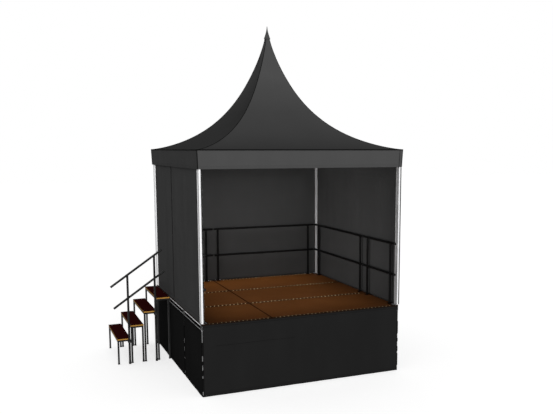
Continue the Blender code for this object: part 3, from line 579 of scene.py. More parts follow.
def swept(path, outline, up=(0.0, 0.0, 1.0), closed=False):
    """An outline, across and up, drawn along a path, with flat ends unless the path closes."""
    path, outline = np.asarray(path, float), np.asarray(outline, float)
    ahead = np.roll(path, -1, 0) - np.roll(path, 1, 0) if closed else np.gradient(path, axis=0)
    ahead /= np.linalg.norm(ahead, axis=1)[:, None]
    across = np.cross(np.asarray(up, float), ahead)
    across /= np.linalg.norm(across, axis=1)[:, None]
    over = np.cross(ahead, across)
    points = path[:, None] + outline[:, :1] * across[:, None] + outline[:, 1:] * over[:, None]
    rows, columns = len(path), len(outline)
    faces = grid_faces(rows, columns, round_rows=closed, round_columns=True)
    if not closed:
        faces += [list(range(columns))[::-1], list(range((rows - 1) * columns, rows * columns))]
    return points.reshape(-1, 3), faces


def line(start, end, steps):
    """Points along a straight line."""
    return np.linspace(start, end, steps)


def square_loop(centre, half, steps, axis):
    """A closed square of points round a centre, on the plane square to an axis number."""
    corners = np.array([(-half, -half), (half, -half), (half, half), (-half, half), (-half, -half)])
    flat = np.concatenate([line(a, b, steps + 1)[:-1] for a, b in zip(corners, corners[1:])])
    loop = np.zeros((len(flat), 3))
    loop[:, [n for n in range(3) if n != axis]] = flat
    return loop + centre


dress(aluminium("anodised_legs", 0.26, (1.0, 1.0, 0.02), (-1.0, FOOT_TOP, RUBBER_BLACK)),
      *(f"leg_trestle_{n}" for n in range(1, 5)))
weld_metal = aluminium("weld_beads", 0.58)
beads = []
for x in LEG_COLUMNS:
    leg_faces = (x - LEG_SIDE / 2, x + LEG_SIDE / 2)
    ends = [face for face in leg_faces if LEG_COLUMNS[0] < face < LEG_COLUMNS[-1]]
    beads += [swept(square_loop((end, y, z), LEDGER_HALF, 5, 0), ring(BEAD_RADIUS, 6), (1, 0, 0), True)
              for y in LEG_ROWS for z in LEDGER_HEIGHTS for end in ends]
add_piece("ledger_welds", joined(*beads), weld_metal)

# Skirts
# Black molton: a dull brushed cotton, hung on hook tape, with a doubled hem that clears the floor. One
# cloth goes across the front and one across the back, and each side has three panels. Small straps close
# the gaps between them, and the front one has a short darned seam.

CLOTH_THICKNESS = 0.0009
SKIRT_LINE = 0.002
SKIRT_LOW = 0.003
LONG_SKIRT_TOP = 0.986
SIDE_SKIRT_TOP = 0.909
SKIRT_END = 0.008
SKIRT_WAVE = 0.005
SKIRT_HEM = 0.045
HEM_PROUD = 0.0011
HEM_OVER = 0.0005               # how far a hem or heading laps over its cloth's edge
TAPE_DROP = 0.03
STILL_END = 0.12
TAB_HEIGHTS = ((0.077, 0.26), (0.296, 0.37), (0.443, 0.497), (0.571, 0.754))
TAB_REACH = 0.022
TAB_PROUD = 0.0032
TAB_BEND = 0.004
TAB_ROUND = (0.0005, 0.0027)
SEAM_SIDES = (0.2, 1.35)
SEAM_HEIGHT = 0.69
SEAM_Y = -0.0042
SEAM_SWAY = 0.002
SEAM_THREAD = 0.0014


def waves(along, up, seed):
    """Slow folds, from -1 to 1, that lean a little, with their lengths and starts drawn from the seed."""
    draw = np.random.default_rng(seed)
    total = np.zeros_like(along)
    for length in (0.67, 0.41, 0.26):
        length = length * draw.uniform(0.85, 1.15)
        total += np.sin(2 * pi * (along / length + up * draw.uniform(-0.3, 0.3)) + draw.uniform(0, 2 * pi))
    return total / 3


def upright_grid(start, end, low, high, bulge, step=0.03, rise=0.03):
    """A standing grid between two places on the plan, bulged to the right of its run, and its flat metres."""
    start, end = np.array(start, float), np.array(end, float)
    length = np.linalg.norm(end - start)
    ahead = (end - start) / length
    columns, rows = round(length / step) + 2, round((high - low) / rise) + 2
    along, up = np.meshgrid(np.linspace(0, length, columns), np.linspace(low, high, rows))
    plan = start + along[..., None] * ahead + bulge(along, up)[..., None] * (ahead[1], -ahead[0])
    return np.dstack((plan, up)), np.dstack((along, up - low))


def add_cloth(name, grids, material, slot, body="stage", thickness=CLOTH_THICKNESS, offset=0.0):
    """A sheet sewn from grids of points, with a real cloth's thickness."""
    shape = joined(*((points, grid_faces(*points.shape[:2])) for points, _ in grids))
    metres = np.concatenate([flat.reshape(-1, 2) for _, flat in grids])
    made = add_piece(name, shape, material, body, metres)
    wall = made.modifiers.new("thickness", "SOLIDIFY")
    wall.thickness = thickness
    wall.offset = offset
    return made


def molton(name, level=33, stitch_height=None):
    """Brushed cotton, which scatters all light: a felted nap with short fibres and soft vertical shadows."""
    cloth = Finish(name, Roughness=1.0, Specular_IOR_Level=0.0)
    place = cloth.place()
    across, up, _ = cloth.axes(cloth.node("ShaderNodeUVMap", {"uv_map": "cloth"}))
    nap = cloth.noise(place, 650, 4)
    clouds = cloth.noise(place, 3, 4, (1.0, 1.0, 0.3))
    shade = nap * 0.4 + clouds * 0.6
    height = nap
    if stitch_height is not None:
        row = abs(up - stitch_height) < 0.0012
        thread = row * (across.repeat(0.0065) < 0.6)
        shade = shade + thread * 0.8 - row * 0.5
        height = nap * 0.4 + thread * 0.6 + (1.0 - row) * 0.3
    cloth.shade(Base_Color=cloth.blend(shade, tone(level - 5), tone(level + 5)))
    cloth.bump(height, 0.0006)
    return cloth.material


def skirt(name, start, end, top, seed):
    """One skirt: its cloth, hanging in slow folds, and the doubled hem that is sewn round its foot."""
    def bulge(along, up):
        fall = np.clip((top - up) / (top - SKIRT_LOW), 0, 1)
        free = np.clip(np.minimum(along, length - along) / STILL_END, 0, 1)
        return SKIRT_WAVE * free * fall ** 1.4 * (0.5 + 0.5 * waves(along, up, seed))

    def proud(along, up):
        return bulge(along, up) + HEM_PROUD

    def sewn(part, low, high, shape, material):
        grid = upright_grid(start, end, low, high, shape)
        return add_cloth(f"{name}_{part}", [grid], material, "skirt_cloth")

    length = float(np.linalg.norm(np.array(end) - start))
    cloth = sewn("cloth", SKIRT_LOW, top, bulge, skirt_molton)
    hem = sewn("hem", SKIRT_LOW - HEM_OVER, SKIRT_LOW + SKIRT_HEM, proud, skirt_hem)
    head = sewn("heading", top - TAPE_DROP, top + HEM_OVER, proud, skirt_hem)
    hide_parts(name)


def strap_path(corner_x, corner_y, towards_x, towards_y):
    """Round an outer corner of the deck, from one skirt's end to the next one's."""
    steps = [(-TAB_REACH, TAB_PROUD), (-TAB_BEND, TAB_PROUD), TAB_ROUND]
    steps += [step[::-1] for step in steps[::-1]]
    return [(corner_x + towards_x * x, corner_y + towards_y * y) for x, y in steps]


def straps(plan):
    """Hook-and-loop straps, one above the other, that follow a path on the plan."""
    made = []
    for foot, head in TAB_HEIGHTS:
        half = (head - foot) / 2
        outline = np.array([(-0.0006, -half), (0.0006, -half), (0.0006, half), (-0.0006, half)])
        made.append(swept([(x, y, foot + half) for x, y in plan], outline))
    return made


skirt_molton = molton("skirt_molton")
skirt_hem = molton("skirt_hem_molton", 31, 0.026)
first, last = SKIRT_END, DECK_SIDE - SKIRT_END
skirt("skirt_front", (first, -SKIRT_LINE), (last, -SKIRT_LINE), LONG_SKIRT_TOP, 11)
skirt("skirt_back", (last, DECK_SIDE + SKIRT_LINE), (first, DECK_SIDE + SKIRT_LINE), LONG_SKIRT_TOP, 12)
for number, row in enumerate(ROWS):
    near, far = number + SKIRT_END, number + 1 - SKIRT_END
    skirt(f"skirt_left_{number + 1}", (-SKIRT_LINE, far), (-SKIRT_LINE, near), SIDE_SKIRT_TOP, 21 + number)
    skirt(f"skirt_right_{number + 1}", (DECK_SIDE + SKIRT_LINE, near), (DECK_SIDE + SKIRT_LINE, far),
          SIDE_SKIRT_TOP, 31 + number)

strap_cloth = hook_tape("black_strap_cloth")
closures = []
for x, towards_x in ((0.0, -1), (DECK_SIDE, 1)):
    for y, towards_y in ((0.0, -1), (DECK_SIDE, 1)):
        closures += straps(strap_path(x, y, towards_x, towards_y))
    for y in (1.0, 2.0):
        out_x = x + towards_x * (TAB_PROUD + 0.0008)
        closures += straps([(out_x, y - TAB_REACH), (out_x, y), (out_x, y + TAB_REACH)])
add_piece("skirt_straps", joined(*closures), strap_cloth)

darn = line((SEAM_SIDES[0], SEAM_Y, SEAM_HEIGHT), (SEAM_SIDES[1], SEAM_Y, SEAM_HEIGHT), 60)
darn[:, 2] += SEAM_SWAY * np.sin(darn[:, 0] * 9)
add_piece("skirt_front_darn", swept(darn, ring(SEAM_THREAD, 6)), strap_cloth)

# Roof cloth, valance and their piping
# Coated polyester: a fine weave that shows through a matt coat, with the folds it was packed in. Four
# panels are welded along the hips under black piping, and the cloth hangs 0.25 m below the eave.

EAVE_HEIGHT = 3.3
ROOF_RISE = 1.86
EAVE_HALF = 1.52
ROOF_MIDDLE = 1.5
HIP_POWER = 1.2
HIP_SWEEP = 2.15
HIP_SWEEP_POWER = 0.75
FACE_HOLLOW = 0.05
FACE_HOLLOW_POWER = 0.8
ROUND_FROM = 0.6
ROUND_GROWTH = 1.2
TOP_RADIUS = 0.04
TOP_SPARE = 1.15
ROOF_ROWS = 70
ROOF_COLUMNS = 48
ROOF_ROW_POWER = 1.5
VALANCE_FOOT = 3.05
VALANCE_DRAW_IN = 0.01
VALANCE_HEM = 0.04
VALANCE_HEM_PROUD = 0.0008
VALANCE_TOP = EAVE_HEIGHT - 0.004
VALANCE_WAVE = 0.0025
WEAVE = 0.0016
RIB_PITCH = 0.0018
PACK_FOLD = 0.62
ROOF_SHADE_HEIGHTS = (3.85, 4.4)      # from where the roof's painted shade is full to where it ends
HIP_PIPE = 0.0045
EAVE_PIPE = 0.0075
CORNER_PIPE = 0.006
HIP_PIPE_IN = 0.001
STRIP_WIDTH = 0.045
STRIP_PROUD = 0.0016
STRIP_PIPE = 0.0024
HIP_STEPS = 60


def tent_cloth(name, level=77, stitch_height=None):
    """Matt coated polyester in its own flat metres: weave, packing folds and faint clouding.

    The lower, flatter part of the roof is painted darker towards the eave: painted shade, blotched by the
    clouding.
    """
    cloth = Finish(name, Specular_IOR_Level=0.0)
    place = cloth.place()
    across, up, _ = cloth.axes(cloth.node("ShaderNodeUVMap", {"uv_map": "cloth"}))
    weave = (across * (2 * pi / WEAVE)).sine() * (up * (2 * pi / WEAVE)).sine()
    folds = across.crease(PACK_FOLD, 90).most(up.crease(PACK_FOLD, 90))
    clouds = cloth.noise(place, 2.5, 5)
    specks = cloth.noise(place, 300, 3)
    shade = clouds * 0.7 + specks * 0.2 + folds * 0.2
    height = weave * 0.12 + folds * 0.5 + specks * 0.1
    if stitch_height is not None:
        row = abs(up - stitch_height) < 0.0011
        thread = row * (across.repeat(0.005) < 0.6)
        shade = shade + thread * 1.2 - row * 0.5
        height = height + thread * 0.4 - row * 0.2
    z = cloth.axes(place)[2]
    # Painted shade: the roof is painted darker over a band of heights above the eave, most at its foot.
    roof_painted_shade = cloth.node("ShaderNodeMapRange", {}, z, *ROOF_SHADE_HEIGHTS, 1.0, 0.0) * (z > EAVE_HEIGHT)
    clean = cloth.blend(shade, tone(level - 5), tone(level + 5))
    cloth.shade(Base_Color=cloth.blend(roof_painted_shade * (clouds * 0.4 + 0.35), clean, tone(level - 17)),
                Roughness=0.62 + clouds * 0.2)
    cloth.bump(height, 0.0008)
    return cloth.material


def webbing(name, level=20):
    """Black binding tape and piping: a tight rib across its run."""
    tape = Finish(name, Roughness=0.9, Specular_IOR_Level=0.02)
    place = tape.place()
    x, y, z = tape.axes(place)
    ribs = ((x + y + z) * (2 * pi / RIB_PITCH)).sine()
    dust = tape.noise(place, 20, 4)
    tape.shade(Base_Color=tape.blend(dust, tone(level - 4), tone(level + 6)))
    tape.bump(ribs * 0.5 + dust * 0.5, 0.0003)
    return tape.material


def hip_share(rise):
    """How far out the hips lie at a share of the rise: 1 at the eave, 0 at the peak."""
    return (1 - rise) ** HIP_POWER / (1 + HIP_SWEEP * rise ** HIP_SWEEP_POWER)


rises = np.linspace(ROUND_FROM, 1.0, 4001)
roof_top = rises[np.argmax(hip_share(rises) * EAVE_HALF < TOP_RADIUS / sqrt(2) * TOP_SPARE)]


def side_square(along, across, side):
    """Turns a place on the front side of a square onto one of its four sides."""
    return ((along, across), (-across, along), (-along, -across), (across, -along))[side]


def roof_points(rise, along, side, inset=0.0):
    """Points of the roof: a share of the rise, and -1 to 1 along one of the four sides."""
    share = hip_share(rise)
    hollow = np.sin(pi * np.minimum(rise / roof_top, 1.0)) ** FACE_HOLLOW_POWER
    across = -(1 - FACE_HOLLOW * (1 - along ** 2) * hollow)
    x, y = side_square(along, across, side)
    angle = np.arctan2(y, x)
    rounding = np.maximum(0.0, (rise / roof_top - ROUND_FROM) / (1 - ROUND_FROM)) ** 2
    radius = np.where(rounding >= 0.9999, TOP_RADIUS, share * EAVE_HALF * ROUND_GROWTH)
    flat_x, flat_y = x * share * EAVE_HALF, y * share * EAVE_HALF
    x = flat_x + (np.cos(angle) * radius - flat_x) * rounding
    y = flat_y + (np.sin(angle) * radius - flat_y) * rounding
    shrink = 1 - inset / np.maximum(np.hypot(x, y), 0.01)
    return spread(ROOF_MIDDLE + x * shrink, ROOF_MIDDLE + y * shrink, EAVE_HEIGHT + ROOF_RISE * rise)


def roof_panel(side):
    """One of the roof's four panels, and its flat metres: along the eave, and up the slope."""
    rise = roof_top * np.linspace(0, 1, ROOF_ROWS + 1)[:, None] ** ROOF_ROW_POWER
    along = np.linspace(-1, 1, ROOF_COLUMNS + 1)[None, :]
    rise, along = np.broadcast_arrays(rise, along)
    points = roof_points(rise, along, side)
    slope = np.linalg.norm(np.diff(roof_points(rise[:, :1], along[:, :1] * 0, side), axis=0), axis=-1)
    up = np.concatenate(([[0.0]], np.cumsum(slope, 0)))
    return points, np.dstack((along * hip_share(rise) * EAVE_HALF, np.broadcast_to(up, along.shape)))


def valance_grid(side, low, high, proud=0.0):
    """One side of the valance between two heights, drawn in towards its foot, with a slow wave."""
    up, along = np.meshgrid(np.linspace(low, high, 10), np.linspace(-1, 1, 90), indexing="ij")
    fall = (EAVE_HEIGHT - up) / (EAVE_HEIGHT - VALANCE_FOOT)
    half = EAVE_HALF - VALANCE_DRAW_IN * fall
    wave = VALANCE_WAVE * fall * (waves(along * EAVE_HALF, up, 41 + side) - 1) * (1 - along ** 8)
    x, y = side_square(along * (half + proud), -(half + wave + proud), side)
    return np.stack((ROOF_MIDDLE + x, ROOF_MIDDLE + y, up), -1), np.dstack((along * half, up - low))


tent_matt = tent_cloth("tent_cloth")
tent_hem = tent_cloth("tent_hem_cloth", 75, 0.034)
piping = webbing("black_piping", 14)


def tent_sheet(name, grids, material=tent_matt, body="stage", **more):
    """A sheet of the tent's own fabric."""
    return add_cloth(name, grids, material, "tent_fabric", body, **more)


roof = tent_sheet("roof_cloth", [roof_panel(side) for side in range(4)], offset=-1.0)
hip_rises = roof_top * np.linspace(0.0, 1.0, HIP_STEPS) ** ROOF_ROW_POWER
hips = []
for side in range(4):
    hip_path = roof_points(hip_rises, np.full(HIP_STEPS, -1.0), side, HIP_PIPE_IN)
    hips.append(swept(hip_path, ring(HIP_PIPE), (1, 1, 0) if side % 2 else (1, -1, 0)))
hip_piping = add_piece("hip_piping", joined(*hips), piping)
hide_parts("roof_membrane")

valance = tent_sheet("valance_cloth", [valance_grid(side, VALANCE_FOOT, VALANCE_TOP) for side in range(4)],
                     offset=-1.0)
hem_grids = [valance_grid(side, VALANCE_FOOT - HEM_OVER, VALANCE_FOOT + VALANCE_HEM, VALANCE_HEM_PROUD)
             for side in range(4)]
valance_hem = tent_sheet("valance_hem", hem_grids, tent_hem)
eave = square_loop((ROOF_MIDDLE, ROOF_MIDDLE, EAVE_HEIGHT - 0.002), EAVE_HALF, 40, 2)
eave_piping = add_piece("eave_piping", swept(eave, ring(EAVE_PIPE), closed=True), piping)
corner_seams = []
for x, y in ((-1, -1), (1, -1), (1, 1), (-1, 1)):
    top, foot = EAVE_HALF, EAVE_HALF - VALANCE_DRAW_IN
    seam = line((ROOF_MIDDLE + x * foot, ROOF_MIDDLE + y * foot, VALANCE_FOOT),
                (ROOF_MIDDLE + x * top, ROOF_MIDDLE + y * top, VALANCE_TOP), 8)
    corner_seams.append(swept(seam, ring(CORNER_PIPE), (1, 0, 0)))
valance_seams = add_piece("valance_seams", joined(*corner_seams), piping)
strip_x = np.linspace(ROOF_MIDDLE + EAVE_HALF - STRIP_WIDTH, ROOF_MIDDLE + EAVE_HALF - 0.003, 6)
strip_z = np.linspace(VALANCE_FOOT - 0.001, EAVE_HEIGHT - 0.006, 12)
strip_z = strip_z[:, None]
strip_lean = VALANCE_DRAW_IN * (EAVE_HEIGHT - strip_z) / (EAVE_HEIGHT - VALANCE_FOOT)
strip_points = spread(strip_x - strip_lean, ROOF_MIDDLE - EAVE_HALF - STRIP_PROUD + strip_lean, strip_z)
valance_strip = tent_sheet("valance_strip", [(strip_points, spread(strip_x, strip_z))])
seam = swept(strip_points[:, 0] + (0.0, -0.001, 0.0), ring(STRIP_PIPE), (1, 0, 0))
strip_seam = add_piece("valance_strip_seam", seam, piping)
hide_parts("valance")
dress(black_plastic("grey_cap", 58), "peak_cap")

# Tent posts, eave beams, king pole and cables
# Slotted aluminium extrusions: bright anodised posts on welded and bolted base plates, and beams held by
# bolted brackets. Rubber strips fill the front posts' empty slots, and hook tape on their inner edges takes
# a curtain. The pole stands on two galvanised cables, each drawn tight by a turnbuckle.

POST_IN = 0.0005                # from the deck's outer faces
POST_SIZE = (0.04, 0.09)
POST_FOOT = 1.0063
PLATE_TOP = 1.0068
BEAM_FOOT = 3.214
PLATE_BOLTS = ((0.07, 0.03), (0.07, 0.072))
BOLT_SIZE = 0.0085
BRACKET_ARM = 0.07
BRACKET_SIDES = (0.026, 0.039)      # from the tent frame's outer face
BRACKET_THICKNESS = 0.004
CABLE_HEIGHTS = (3.189, 3.169)
CABLE_CORNER = (0.0545, 0.0595)
LAY_ALONG, LAY_UP = 420, 700    # how fast the strands wind, in radians a metre
TURNBUCKLE_AT = 0.35
TURNBUCKLE_HALF = 0.09
TURNBUCKLE_NUT = 0.0091
TURNBUCKLE_NUT_HALF = 0.02
ROD_APART = 0.0085              # from the cable's middle to each of the turnbuckle's two rods
ROD_HALF = 0.085
ROD_RADIUS = 0.003
EYE_ENDS = (-0.018, 0.004)      # along the cable, from where it meets the post
EYE_RADIUS = 0.0062
CABLE_PLATE_HALF = (0.0, 0.014, 0.008)
CABLE_PLATE_THICKNESS = 0.0035
POLE_RADIUS = 0.021
POLE_SLEEVE = (3.9, 4.05)
BRACKET_START = (0.0407, 0.0908)
CABLE_PLATE_AT = (0.0407, 0.0455)
POST_WELD = 0.0032
STRIP_HEIGHTS = (1.008, 3.21)
STRIP_THICKNESS = 0.0013
SLOT_PLACE = 0.0205            # from the front of the deck to the posts' front slots
SLOT_STRIP_HALF = 0.0065
CURTAIN_TAPE_WIDTH = 0.013
CURTAIN_TAPE_DEPTHS = (-0.0009, 0.0005)
CURTAIN_TAPE_TOP = VALANCE_FOOT + 0.1


def hex_bolt(size):
    """A bolt head on a washer, as wide across its corners as twice its size."""
    washer = turned(((size * 1.25, 0.0), (size * 1.25, 0.0012), (size * 1.15, 0.0017)))
    head = turned(((size, 0.0017), (size, size * 0.7), (size * 0.86, size * 0.78)), 6)
    return joined(washer, head)


def at_corner(x, y, right, rear):
    """A place on the plan, counted inwards from one of the deck's four corners."""
    return (DECK_SIDE - x if right else x), (DECK_SIDE - y if rear else y)


def bracket(arm_start, arm_axis, way, sides):
    """A bracket under a beam: a plate on the beam, one on the post, and a web between them.

    arm_start is where the beam meets the post, arm_axis the beam's axis number, way its direction, and
    sides the two faces of the bracket on the other axis.
    """
    def point(along, across, down):
        place = [0.0, 0.0, BEAM_FOOT - down]
        place[arm_axis] = arm_start + way * along
        place[1 - arm_axis] = across
        return place

    middle = sum(sides) / 2
    gap, thick = 0.0002, BRACKET_THICKNESS
    plates = [block(point(gap, sides[0], gap), point(BRACKET_ARM, sides[1], thick)),
              block(point(gap, sides[0], gap), point(thick, sides[1], BRACKET_ARM))]
    corners = [(thick / 2, thick / 2), (BRACKET_ARM * 0.9, thick / 2), (thick / 2, BRACKET_ARM * 0.9)]
    web = np.array([point(along, across, down) for across in (middle - 0.0015, middle + 0.0015)
                    for along, down in corners])
    faces = [[0, 1, 2], [5, 4, 3], [0, 3, 4, 1], [1, 4, 5, 2], [2, 5, 3, 0]]
    if np.dot(np.cross(web[1] - web[0], web[2] - web[0]), web[3] - web[0]) > 0:
        faces = [face[::-1] for face in faces]
    return joined(*plates, (web, faces))


post_metal = aluminium("anodised_posts", 0.9, (1.0, 1.0, 0.02), (0.99, PLATE_TOP, LIP_BROWN), 0.04, 0.1)
dress(post_metal, *(f"tent_post_{end}_{side}" for end in ("front", "rear") for side in ("left", "right")))
dress(aluminium("anodised_beams", 0.7, (0.02, 0.02, 1.0)),
      *(f"eave_beam_{side}" for side in ("front", "back", "left", "right")))
dress(aluminium("anodised_pole", 0.6, (1.0, 1.0, 0.02)), "king_pole")
zinc = plated("zinc_plate", tone((170, 172, 176)))

brackets, bolts, welds = [], [], []
for right in (False, True):
    for rear in (False, True):
        way_x, way_y = (-1 if right else 1), (-1 if rear else 1)
        for x, y in PLATE_BOLTS:
            bolts.append(copies(hex_bolt(BOLT_SIZE), [(*at_corner(x, y, right, rear), POST_FOOT)]))
        foot = [at_corner(POST_IN + x, POST_IN + y, right, rear) for x, y in
                ((POST_SIZE[0], 0), POST_SIZE, (0, POST_SIZE[1]))]
        for start, end in zip(foot, foot[1:]):
            welds.append(swept(line((*start, POST_FOOT), (*end, POST_FOOT), 30), ring(POST_WELD)))
        side_x, side_y = zip(*(at_corner(side, side, right, rear) for side in BRACKET_SIDES))
        start_x, start_y = at_corner(*BRACKET_START, right, rear)
        brackets.append(bracket(start_x, 0, way_x, sorted(side_y)))
        brackets.append(bracket(start_y, 1, way_y, sorted(side_x)))
add_piece("eave_brackets", joined(*brackets), aluminium("cast_brackets", 0.55))
add_piece("base_bolts", joined(*bolts), zinc)
add_piece("post_welds", joined(*welds), weld_metal)

slot_strips, curtain_tapes = [], []
for right in (False, True):
    way = -1 if right else 1
    for face, outwards in ((POST_IN, -way), (POST_IN + POST_SIZE[0], way)):
        back_x = at_corner(face, 0, right, False)[0]
        face_x = back_x + outwards * STRIP_THICKNESS
        slot_strips.append(block((back_x, SLOT_PLACE - SLOT_STRIP_HALF, STRIP_HEIGHTS[0]),
                                 (face_x, SLOT_PLACE + SLOT_STRIP_HALF, STRIP_HEIGHTS[1]), 0.0006))
    edge_x = at_corner(POST_SIZE[0], 0, right, False)[0]
    tape_x = edge_x - way * CURTAIN_TAPE_WIDTH
    curtain_tapes.append(block((edge_x, CURTAIN_TAPE_DEPTHS[0], STRIP_HEIGHTS[0]),
                               (tape_x, CURTAIN_TAPE_DEPTHS[1], CURTAIN_TAPE_TOP), 0.0005))
add_piece("slot_strips", joined(*slot_strips), black_plastic("black_slot_rubber", 20))
add_piece("curtain_tapes", joined(*curtain_tapes), loops)

strands = Finish("galvanised_strands", Metallic=0.5)
strand_x, strand_y, strand_z = strands.axes(strands.place())
lays = [(run * LAY_ALONG + strand_z * LAY_UP).sine() for run in (strand_x + strand_y, strand_x - strand_y)]
lay = lays[0].most(lays[1])
strands.shade(Base_Color=strands.blend(lay * 0.5 + 0.5, tone(92), tone(168)), Roughness=0.4 + lay * 0.08)
strands.bump(lay * 0.5 + 0.5, 0.0005)
dress(strands.material, "cross_cable_upper", "cross_cable_lower")

fittings = []
for height, ends in zip(CABLE_HEIGHTS, (((False, False), (True, True)), ((False, True), (True, False)))):
    corners = [np.array((*at_corner(*CABLE_CORNER, *end), height)) for end in ends]
    ahead = (corners[1] - corners[0]) / np.linalg.norm(corners[1] - corners[0])
    middle = corners[0] + ahead * TURNBUCKLE_AT
    for side in (-1, 1):
        nut = middle + ahead * side * TURNBUCKLE_HALF
        reach = ahead * TURNBUCKLE_NUT_HALF
        fittings.append(swept(line(nut - reach, nut + reach, 3), ring(TURNBUCKLE_NUT, 6)))
    for side in (-1, 1):
        rod = middle + np.array((-ahead[1], ahead[0], 0.0)) * side * ROD_APART
        fittings.append(swept(line(rod - ahead * ROD_HALF, rod + ahead * ROD_HALF, 4), ring(ROD_RADIUS)))
    for end, place in zip(ends, corners):
        way = np.array((-1 if end[0] else 1, -1 if end[1] else 1, 0.0)) / sqrt(2)
        eye = line(place + way * EYE_ENDS[0], place + way * EYE_ENDS[1], 3)
        fittings.append(swept(eye, ring(EYE_RADIUS, 12)))
        plate = np.array((*at_corner(*CABLE_PLATE_AT, *end), height))
        plate_face = plate + ((-1 if end[0] else 1) * CABLE_PLATE_THICKNESS, 0.0, 0.0)
        fittings.append(block(plate - CABLE_PLATE_HALF, plate_face + CABLE_PLATE_HALF))
add_piece("cable_fittings", joined(*fittings), zinc)

sleeve_low, sleeve_high = POLE_SLEEVE
sleeve = turned(((POLE_RADIUS + 0.0005, sleeve_low), (POLE_RADIUS + 0.003, sleeve_low + 0.002),
                 (POLE_RADIUS + 0.003, sleeve_high - 0.002), (POLE_RADIUS + 0.0005, sleeve_high)), 32)
sleeve_bolts = [copies(hex_bolt(0.006), [(ROOF_MIDDLE, ROOF_MIDDLE - POLE_RADIUS - 0.003, z)], (0, -1, 0))
                for z in (sleeve_low + 0.03, sleeve_high - 0.03)]
add_piece("pole_sleeve", joined(copies(sleeve, [(ROOF_MIDDLE, ROOF_MIDDLE, 0.0)]), *sleeve_bolts), zinc)

# Walls and door
# The roof's cloth again, with a bead in the posts' and beams' slots. A narrow flap along each foot turns
# outwards over the deck and keeps the daylight out. The left wall has a doorway, closed by a flap that hangs
# on one side and zips along the other.

WALL_LINE = 0.0205
WALL_ENDS_X = (0.0345, 2.9655)
WALL_ENDS_Y = (0.0845, 2.9155)
WALL_HEIGHTS = (1.0105, 3.219)
DOOR_SIDES = (1.72, 2.87)
DOOR_HEAD = 3.06
DOOR_GAP = 0.003
WALL_WAVE = 0.0025
WALL_STILL = 0.3                # how far from its foot and head a wall hangs still
DOOR_STILL = 0.2
WALL_HEM = (-0.0004, 0.045)     # from the cloth's foot
FLAP_ENDS = (0.105, 2.895)
FLAP_FROM_ZIP = 0.0095
HEM_FROM_ZIP = 0.014
HEM_FROM_HINGE = 0.03
FLAP_TOP = 0.033                # how far its sewn edge stands above the deck
FLAP_REACH = 0.0183
FLAP_PROUD = 0.0021
FLAP_LIFT = 0.0062              # over a guard rail's lock plate
FLAP_LIES = 0.0014              # how far above the deck its outer part lies
DOOR_FLAP_LIES = 0.0046         # clear of the screws' heads when the door swings
FLAP_SOFTNESS = 0.0016
PLATE_HALF = 0.05
PLATE_SLOPE = 0.009
LOCK_PLATES = {"back_wall": BACK_RAIL_FEET, "right_wall": (0.15, 0.87, 1.12, 2.76),
               "left_wall": (0.15, 1.55), "door": ()}
COVER_SIDES = (0.047, 0.0895)
COVER_TOP = 3.14


def flat_at(proud):
    """No waves at all: a cloth that stands a constant way out."""
    return lambda along, up: proud + 0 * up


def slack(low, high, seed):
    """A cloth's own small waves, held still at its foot and its head."""
    def bulge(along, up):
        free = np.clip((up - low) / WALL_STILL, 0, 1) * np.clip((high - up) / WALL_STILL, 0, 1)
        return WALL_WAVE * free * waves(along, up, seed)
    return bulge


def foot_flap(name, start, end, body="stage", lies=FLAP_LIES):
    """The flap under a wall's foot, to the right of its run: its height falls away as a power of e outwards.

    Where it crosses a guard rail's lock plate it lies over it.
    """
    start, end = np.array(start), np.array(end)
    length = float(np.linalg.norm(end - start))
    ahead = (end - start) / length
    outs = FLAP_PROUD + (FLAP_REACH - FLAP_PROUD) * np.linspace(0, 1, 14) ** 2
    along, out = np.meshgrid(np.linspace(0, length, round(length / 0.008)), outs)
    run = start + along[..., None] * ahead
    place = run[..., 1 if abs(ahead[1]) > 0.5 else 0]
    covered = np.zeros_like(along)
    for plate in LOCK_PLATES[name]:
        covered = np.maximum(covered, np.clip((PLATE_HALF - abs(place - plate)) / PLATE_SLOPE, 0, 1))
    high = FLAP_TOP * np.exp((FLAP_PROUD - out) / FLAP_SOFTNESS)
    high = DECK_TOP + lies + np.maximum(high, FLAP_LIFT * covered)
    points = np.dstack((run + out[..., None] * (ahead[1], -ahead[0]), high))
    steps = np.linalg.norm(np.diff(points[:, :1], axis=0), axis=-1)
    down = np.concatenate(([[0.0]], np.cumsum(steps, 0)))
    return tent_sheet(name + "_foot_flap", [(points, spread(along, down))], body=body)


def post_cover(name, right):
    """A strip, sewn to a side wall's front edge, that covers the rear half of the front post's inner side."""
    x = at_corner(POST_SIZE[0] + STRIP_THICKNESS, 0, right, False)[0]
    start, end = ((x, y) for y in COVER_SIDES)
    return tent_sheet(name, [upright_grid(start, end, WALL_HEIGHTS[0], COVER_TOP, flat_at(0.0), 0.01)])


def wall_hem(name, start, end, body="stage"):
    """The doubled hem that is sewn on a wall's inner face, along its foot."""
    foot, head = (WALL_HEIGHTS[0] + step for step in WALL_HEM)
    grid = upright_grid(start, end, foot, head, flat_at(HEM_PROUD))
    return tent_sheet(name + "_hem", [grid], tent_hem, body)


